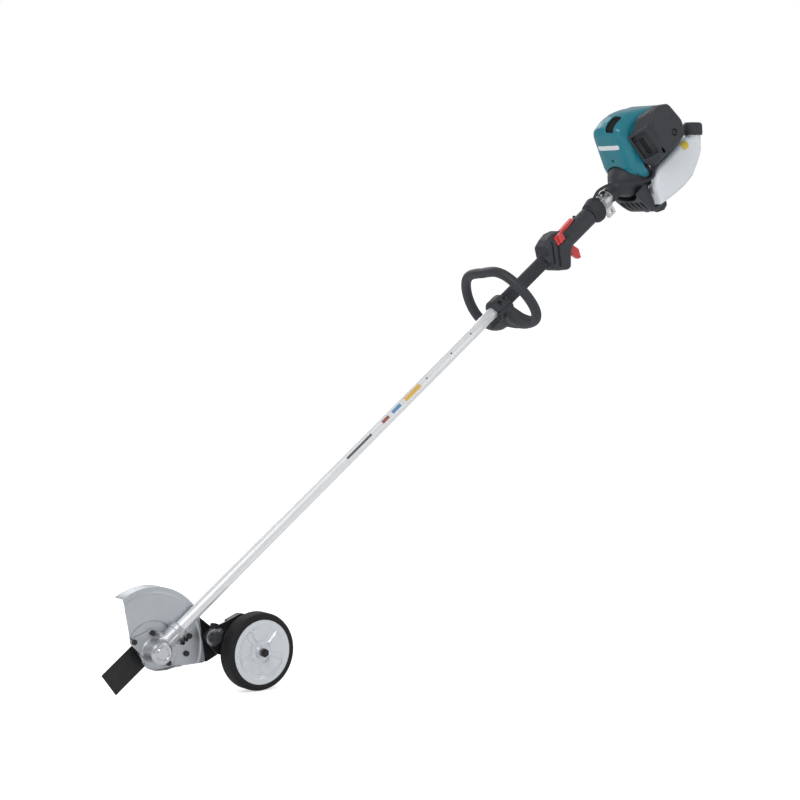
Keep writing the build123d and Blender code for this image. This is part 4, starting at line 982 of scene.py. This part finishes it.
def damper_bulb(x, y, z):
    """Leaning bulb with a bead near its +x end and a collar round the tube."""
    lean_cos, lean_sin = cos(DAMPER_LEAN), sin(DAMPER_LEAN)
    height = (x - DAMPER_X) * lean_cos - z * lean_sin
    radius = length((x - DAMPER_X) * lean_sin + z * lean_cos, y)
    tube_radius = length(y, z)
    dist = polygon(height, radius, DAMPER_PROFILE)
    dist = join(dist, slab(tube_radius - 20.5, x, 1352, 1366, 1.0), 3)
    dist = clip(dist, 1354.6 - x, 1.0)
    dist = dist + 1.6
    bead = clip(np.abs(radius - 25.5) - 1.2, np.abs(height - 8.5) - 1.0, 0.5)
    dist = join(dist, bead, 0.8)
    return clip(dist, TUBE_BORE - tube_radius, 0.5)


add_field("damper_bulb", damper_bulb, (1352, -32, -32), (1400, 32, 32), 1.1, RUBBER,
          part="damper_collar", slot="black_rubber")

# ------------------------------------------------------------------ loop handle and clamp
LOOP_ROLL, LOOP_LEAN = radians(-6.4), radians(4.0)
LOOP_RISE = np.array([0, -sin(LOOP_ROLL), cos(LOOP_ROLL)])
LOOP_ACROSS = np.array([0, cos(LOOP_ROLL), sin(LOOP_ROLL)])
LOOP_UP = LOOP_RISE * cos(LOOP_LEAN) + np.array([1.0, 0, 0]) * sin(LOOP_LEAN)
LOOP_NORMAL = np.cross(LOOP_ACROSS, LOOP_UP)
LOOP_ORIGIN = np.array([1048.4, 0, 0]) + LOOP_RISE * -8.1
LOOP_BAR_RADIUS = 10.5
# Half of the loop in its own plane (across, up)
LOOP_HALF = [(18.5, -27), (38.2, -39.4), (63, -41.7), (85.7, -34.2), (99.7, -17.6),
             (103, 5.6), (97.3, 31.5), (84.7, 55.9), (67.1, 74.9), (46.2, 84.8),
             (23.6, 87), (0, 86.5)]
LOOP_PATH = smooth_path(
    [LOOP_ORIGIN + LOOP_ACROSS * across + LOOP_UP * up for across, up in LOOP_HALF]
    + [LOOP_ORIGIN - LOOP_ACROSS * across + LOOP_UP * up for across, up in LOOP_HALF[-2::-1]], 5)
# Web below the tube (across, up)
LOOP_WEB = [(-22, 2), (-33, -8), (-47, -21), (-66, -31), (-74, -42), (-45, -50), (-14, -50),
            (14, -44), (38, -46), (74, -42), (66, -31), (47, -21), (33, -8), (22, 2)]
# Cross-sections (y, z) of the foot below the tube and of the clamp cap above it
LOOP_FOOT = [(-23, -0.2), (-25, -7), (-20, -18), (-12, -23), (12, -23), (20, -18), (25, -7),
             (23, -0.2)]
CLAMP_SECTION = [(-23, 0), (-22, 8), (-15, 18), (-6, 22), (6, 22), (15, 18), (22, 8), (23, 0)]
CLAMP_START, CLAMP_END = 1021, 1062


def cut_tube(dist, x, y, z):
    return cut(dist, slab(length(y, z) - TUBE_BORE, x, 960, 1100, 0.1), 0.6)


def loop_handle(x, y, z):
    dist = np.inf
    for start, end in zip(LOOP_PATH, LOOP_PATH[1:]):
        dist = join(dist, capsule(x, y, z, start, end, LOOP_BAR_RADIUS))
    across, up, out = [along(x, y, z, LOOP_ORIGIN, axis)
                       for axis in (LOOP_ACROSS, LOOP_UP, LOOP_NORMAL)]
    dist = join(dist, slab(polygon(across, up, LOOP_WEB), out, -8.5, 8.5, 5.0), 9)
    foot = slab(polygon(y, z, LOOP_FOOT), x, CLAMP_START, CLAMP_END, 5.0)
    dist = join(dist, foot, 6)
    dist = join(dist, box(x, y, z, (994, -9, -24), (1036, 9, -9), 2.5), 4)
    dist = cut_tube(dist, x, y, z)
    # Flat face under the clamp cap
    seat = (x > 1019.5) & (x < 1062.5) & (np.abs(y) < 24) & (z < 40)
    return clip(dist, np.where(seat, z + 0.2, OFF))


def clamp_cap(x, y, z):
    dist = slab(polygon(y, z, CLAMP_SECTION), x, CLAMP_START, CLAMP_END, 7.0)
    dist = cut_tube(dist, x, y, z)
    crown = (np.sqrt(((x - 1041.5) / 26.0) ** 2 + (z / 24.5) ** 2) - 1) * 20
    dist = clip(dist, crown, 4.0)
    for screw_x in (1038.0, 1054.0):
        for screw_y in (16.8, -16.8):
            screw = cylinder(x, y, z, (screw_x, screw_y, 9), (0, 0, 1), 0, 30, 4.4)
            dist = cut(dist, screw, 0.5)
    return clip(dist, 0.1 - z)


add_field("loop_handle_moulding", loop_handle, (990, -117, -62), (1072, 117, 94), 1.5,
          CHARCOAL, part="loop_handle", slot="charcoal_plastic")
add_field("loop_clamp_cap", clamp_cap, (1019, -24, -1), (1063, 24, 23), 1.0, CHARCOAL,
          part="loop_handle_clamp", slot="charcoal_plastic")

# ------------------------------------------------------------------ bands on the tube
BAND_OUTER, BAND_INNER = 12.14, 12.02       # radii
BAND_COLUMNS, BAND_ROWS = 12, 10
# Name, start x, end x, start and end angle in degrees from -y toward +z, material
BANDS = [
    ("tube_band_slate", 549, 624, 22, 44, SLATE),
    ("tube_band_brick", 659, 679, 20, 52, BRICK),
    ("tube_band_blue", 690, 716, 20, 52, BLUE),
    ("tube_band_amber", 730, 778, 14, 56, AMBER),
    ("tube_dot_a", 797, 801, 30, 44, SLATE),
    ("tube_dot_b", 877, 881, 30, 44, SLATE),
    ("tube_dot_c", 941, 945, 30, 44, SLATE),
]
for name, start_x, end_x, start_angle, end_angle, band_material in BANDS:
    vertices = []
    for radius in (BAND_OUTER, BAND_INNER):
        for i in range(BAND_COLUMNS):
            for j in range(BAND_ROWS):
                angle = radians(start_angle + (end_angle - start_angle) * j / (BAND_ROWS - 1))
                vertices.append((start_x + (end_x - start_x) * i / (BAND_COLUMNS - 1),
                                 -radius * cos(angle), radius * sin(angle)))
    add_mesh(name, shaft_to_row(vertices), plate_faces(BAND_COLUMNS, BAND_ROWS), band_material,
             sharp=30)

# ------------------------------------------------------------------ debris shield (arbor frame)
# Outline (x, z): an arc about the arbor, closed by the measured lower edge
SHIELD_ARC = [(120 * cos(radians(angle)), 120 * sin(radians(angle)))
              for angle in np.linspace(120.7, 27.2, 40)]
SHIELD_LOW = [(105, 50.5), (117, -36.4), (60, -36.8), (46, -36.8), (27.6, -40), (5, -39.3),
              (-10, -33), (-19, -22), (-26, -3), (-37, 12), (-47, 27)]


def debris_shield(x, y, z):
    radius = length(x, z)
    outline = polygon(x, z, SHIELD_ARC + SHIELD_LOW)
    # Plate: raised toward +y round the arbor, with a shallow groove at radius 108
    plate_y = 15.0 + 1.6 * ease((58 - radius) / 4) - 1.3 * np.exp(-((radius - 108) / 2.2) ** 2)
    plate = clip(np.abs(y - plate_y) - 1.0, outline)
    # Flange along the arc
    angle = np.degrees(np.arctan2(z, x))
    arc = np.maximum(27.4 - angle, angle - 120.5) * 2.0
    flange = clip(np.abs(radius - 119.0) - 1.0, np.maximum(14.0 - y, y - 46.0))
    dist = join(plate, clip(flange, arc), 4.0)
    dist = clip(dist, radius - 120.2, 1.5)
    # Lip along the lower edge
    lip = clip(np.abs(outline + 1.0) - 1.0, np.maximum(8.2 - y, y - 17.4))
    lip = clip(lip, np.maximum(z + 20, np.maximum(-19 - x, x - 60)))
    dist = join(dist, lip, 1.5)
    return clip(dist, 19.3 - radius)


add_field("debris_shield_pressing", debris_shield, (-66, 6, -44), (120, 48, 122), 1.05, ZINC,
          part="debris_shield", slot="pressed_zinc", to_row=arbor_to_row)

# ------------------------------------------------------------------ gear case and its cap
# Outline of the mounting flange, (x, z) in the arbor frame, turned into the shaft frame
CASE_FLANGE = [(-46, 27), (-48, 19), (-43, 13), (-12, -16), (26, -32), (34, -33), (40, -28),
               (39, -20), (22, 18), (6, 38), (-2, 42), (-9, 38)]
CASE_FLANGE = [(x * TILT_COS + z * TILT_SIN, -x * TILT_SIN + z * TILT_COS)
               for x, z in CASE_FLANGE]
FLANGE_Y = 15.4         # outer face of the flange


def gear_case(x, y, z):
    arbor_radius = length(x, z)
    tube_radius = length(y, z)
    dist = slab(arbor_radius - 22.0, y, -22.0, FLANGE_Y, 2.5)
    dist = join(dist, slab(polygon(x, z, CASE_FLANGE), y, 11.4, FLANGE_Y, 1.0), 3.0)
    # Neck, collar, clamp lug, boss and a rib along the neck
    dist = join(dist, slab(tube_radius - 16.5, x, 0, 60, 1.0), 6.0)
    dist = join(dist, slab(tube_radius - 18.0, x, 52, 64, 1.5), 2.5)
    dist = join(dist, box(x, y, z, (45, -9.5, -26), (63, 9.5, -10), 2.0), 3.0)
    dist = join(dist, cylinder(x, y, z, (26, 0, 10), (0, 0, 1), 0, 9.5, 7.0, 0.8), 2.5)
    dist = join(dist, box(x, y, z, (18, -18.2, -2), (50, -12, 2), 1.2), 2.0)
    # Flat +y face, tube bore, clamp slit and the recess for the cap
    dist = clip(dist, y - FLANGE_Y)
    dist = clip(dist, np.where(x > 22.5, y - 13.6, OFF))
    dist = clip(dist, np.where(x > 40, TUBE_BORE - tube_radius, OFF))
    dist = cut(dist, box(x, y, z, (40, -1.2, -60), (90, 1.2, -8), 0.2), 0.4)
    dist = cut(dist, cylinder(x, y, z, (0, -30, 0), (0, 1, 0), 0, 12.6, 18.5))
    # Spigot on the +y side, hollow round the arbor
    spigot = slab(np.maximum(arbor_radius - 18.8, 5.6 - arbor_radius), y, 14.0, 23.6, 0.8)
    return join(dist, spigot, 1.0)


add_field("gear_case_casting", gear_case, (-50, -23, -52), (68, 25, 46), 1.05, CAST,
          part="gear_case", slot="cast_aluminium")
# (radius, height toward +y)
CASE_CAP_PROFILE = [(0.2, 0), (11.3, 0), (12.1, 1.2), (13.2, 1.2), (14.2, 0.1), (18, 0.3),
                    (21, 2), (22, 4), (18.35, 4.05), (18.35, 11), (0.2, 11)]
add_lathe("gear_case_end_cap", round_profile(CASE_CAP_PROFILE, 0.6), 72, (0, -26, 0), (0, 1, 0),
          GROUND, part="gear_case_cap", slot="bright_steel", sharp=40)

# ------------------------------------------------------------------ depth wheel (arbor frame)
WHEEL_X, WHEEL_Z = 203, -17
RIM_RADIUS = 62
# (radius, y)
HUB_PROFILE = [(5.1, -56), (11, -56), (13, -47.5), (20, -46), (46, -48.5), (52, -52),
               (RIM_RADIUS, -52.5), (RIM_RADIUS, -17.5), (58.5, -17.5), (58.5, -40),
               (46, -44), (20, -42.5), (13, -41), (12, -13), (5.1, -13)]
HUB_SEGMENTS = 240
HUB_SECTORS = 5


def hub_stations():
    """The hub profile split into steps of at least 1.2 in radius."""
    stations = []
    for i, (radius, y) in enumerate(HUB_PROFILE):
        end_radius, end_y = HUB_PROFILE[(i + 1) % len(HUB_PROFILE)]
        steps = max(1, int(abs(end_radius - radius) // 1.2))
        for j in range(steps):
            stations.append((radius + (end_radius - radius) * j / steps,
                             y + (end_y - y) * j / steps))
    return stations


def build_hub():
    """Hub with raised, slanting sectors on its -y face."""
    turn = np.linspace(0, 2 * pi, HUB_SEGMENTS, endpoint=False)
    # Angle from the middle of the nearest sector
    offset = np.angle(np.exp(1j * HUB_SECTORS * (turn - 0.35))) / float(HUB_SECTORS)
    stations = hub_stations()
    vertices = []
    for radius, y in stations:
        lift = np.zeros(HUB_SEGMENTS)
        if y < -44.5 and 13 < radius < 58:
            band = ease((radius - 21) / 2.5) * ease((50 - radius) / 2.5)
            lift = (-(1.0 + 2.4 * (offset + 0.5)) * band
                    * ease((0.50 - np.abs(offset)) * radius / 2.5))
        vertices.append(np.stack([WHEEL_X + radius * np.cos(turn), y + lift,
                                  WHEEL_Z + radius * np.sin(turn)], 1))
    add_mesh("wheel_hub_moulding", arbor_to_row(np.concatenate(vertices)),
             np.array(ring_faces(len(stations), HUB_SEGMENTS)), HUB, "depth_wheel",
             part="wheel_hub", slot="hub_plastic", sharp=35)


build_hub()

# Tyre profile (radius, y), with four grooves round the tread
TREAD_RADIUS, GROOVE_RADIUS = 75, 74.2
TYRE_PROFILE = [(RIM_RADIUS, -52.4), (63.5, -53.2), (68, -53.5), (73, -51),
                (TREAD_RADIUS, -46)]
for groove_y in (-42, -38, -31.5, -27):
    TYRE_PROFILE += [(TREAD_RADIUS, groove_y - 0.9), (GROOVE_RADIUS, groove_y - 0.4),
                     (GROOVE_RADIUS, groove_y + 0.4), (TREAD_RADIUS, groove_y + 0.9)]
TYRE_PROFILE += [(TREAD_RADIUS, -23), (73, -18.5), (68, -16), (63.5, -16.3),
                 (RIM_RADIUS, -17.6)]
add_lathe("wheel_tyre_tread", round_profile(TYRE_PROFILE, 0.9), 160, (WHEEL_X, 0, WHEEL_Z),
          (0, 1, 0), TYRE, to_row=arbor_to_row, body="depth_wheel", part="wheel_tyre",
          slot="tyre_rubber", sharp=50)

# ------------------------------------------------------------------ starter rope
ROPE_RADIUS = 1.4
ROPE_STATIONS_Y = (44, 50, 56, 62.5)


def build_rope():
    """Rope from the cover to the pull handle, a straight tube along +y."""
    vertices, faces = tube_mesh([(STARTER_X, y, STARTER_Z) for y in ROPE_STATIONS_Y],
                                ROPE_RADIUS, 14, reference=(1, 0, 0.01))
    mesh = bpy.data.meshes.new("starter_rope")
    mesh.from_pydata(shaft_to_row(vertices).tolist(), [], faces)
    mesh.update()
    rope = bpy.data.objects.new("starter_rope", mesh)
    bpy.context.scene.collection.objects.link(rope)
    mesh.materials.append(BLACK)
    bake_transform(rope)


build_rope()

# ------------------------------------------------------------------ edges of the CAD nodes
BEVELLED_SLOTS = ("black_steel", "bright_steel", "charcoal_plastic", "red_plastic",
                  "pressed_zinc", "cast_aluminium", "teal_plastic", "black_rubber")
MAX_BEVEL_FACES = 60000
for name, node in NODES.items():
    if NODE_SLOTS[name] in BEVELLED_SLOTS and len(node.data.polygons) <= MAX_BEVEL_FACES:
        weld = node.modifiers.new("weld", "WELD")
        weld.merge_threshold = 0.00001
        bevel = node.modifiers.new("edge", "BEVEL")
        bevel.width = 0.00035
        bevel.segments = 2
        bevel.limit_method = "ANGLE"
        bevel.angle_limit = radians(35)
        bevel.use_clamp_overlap = True
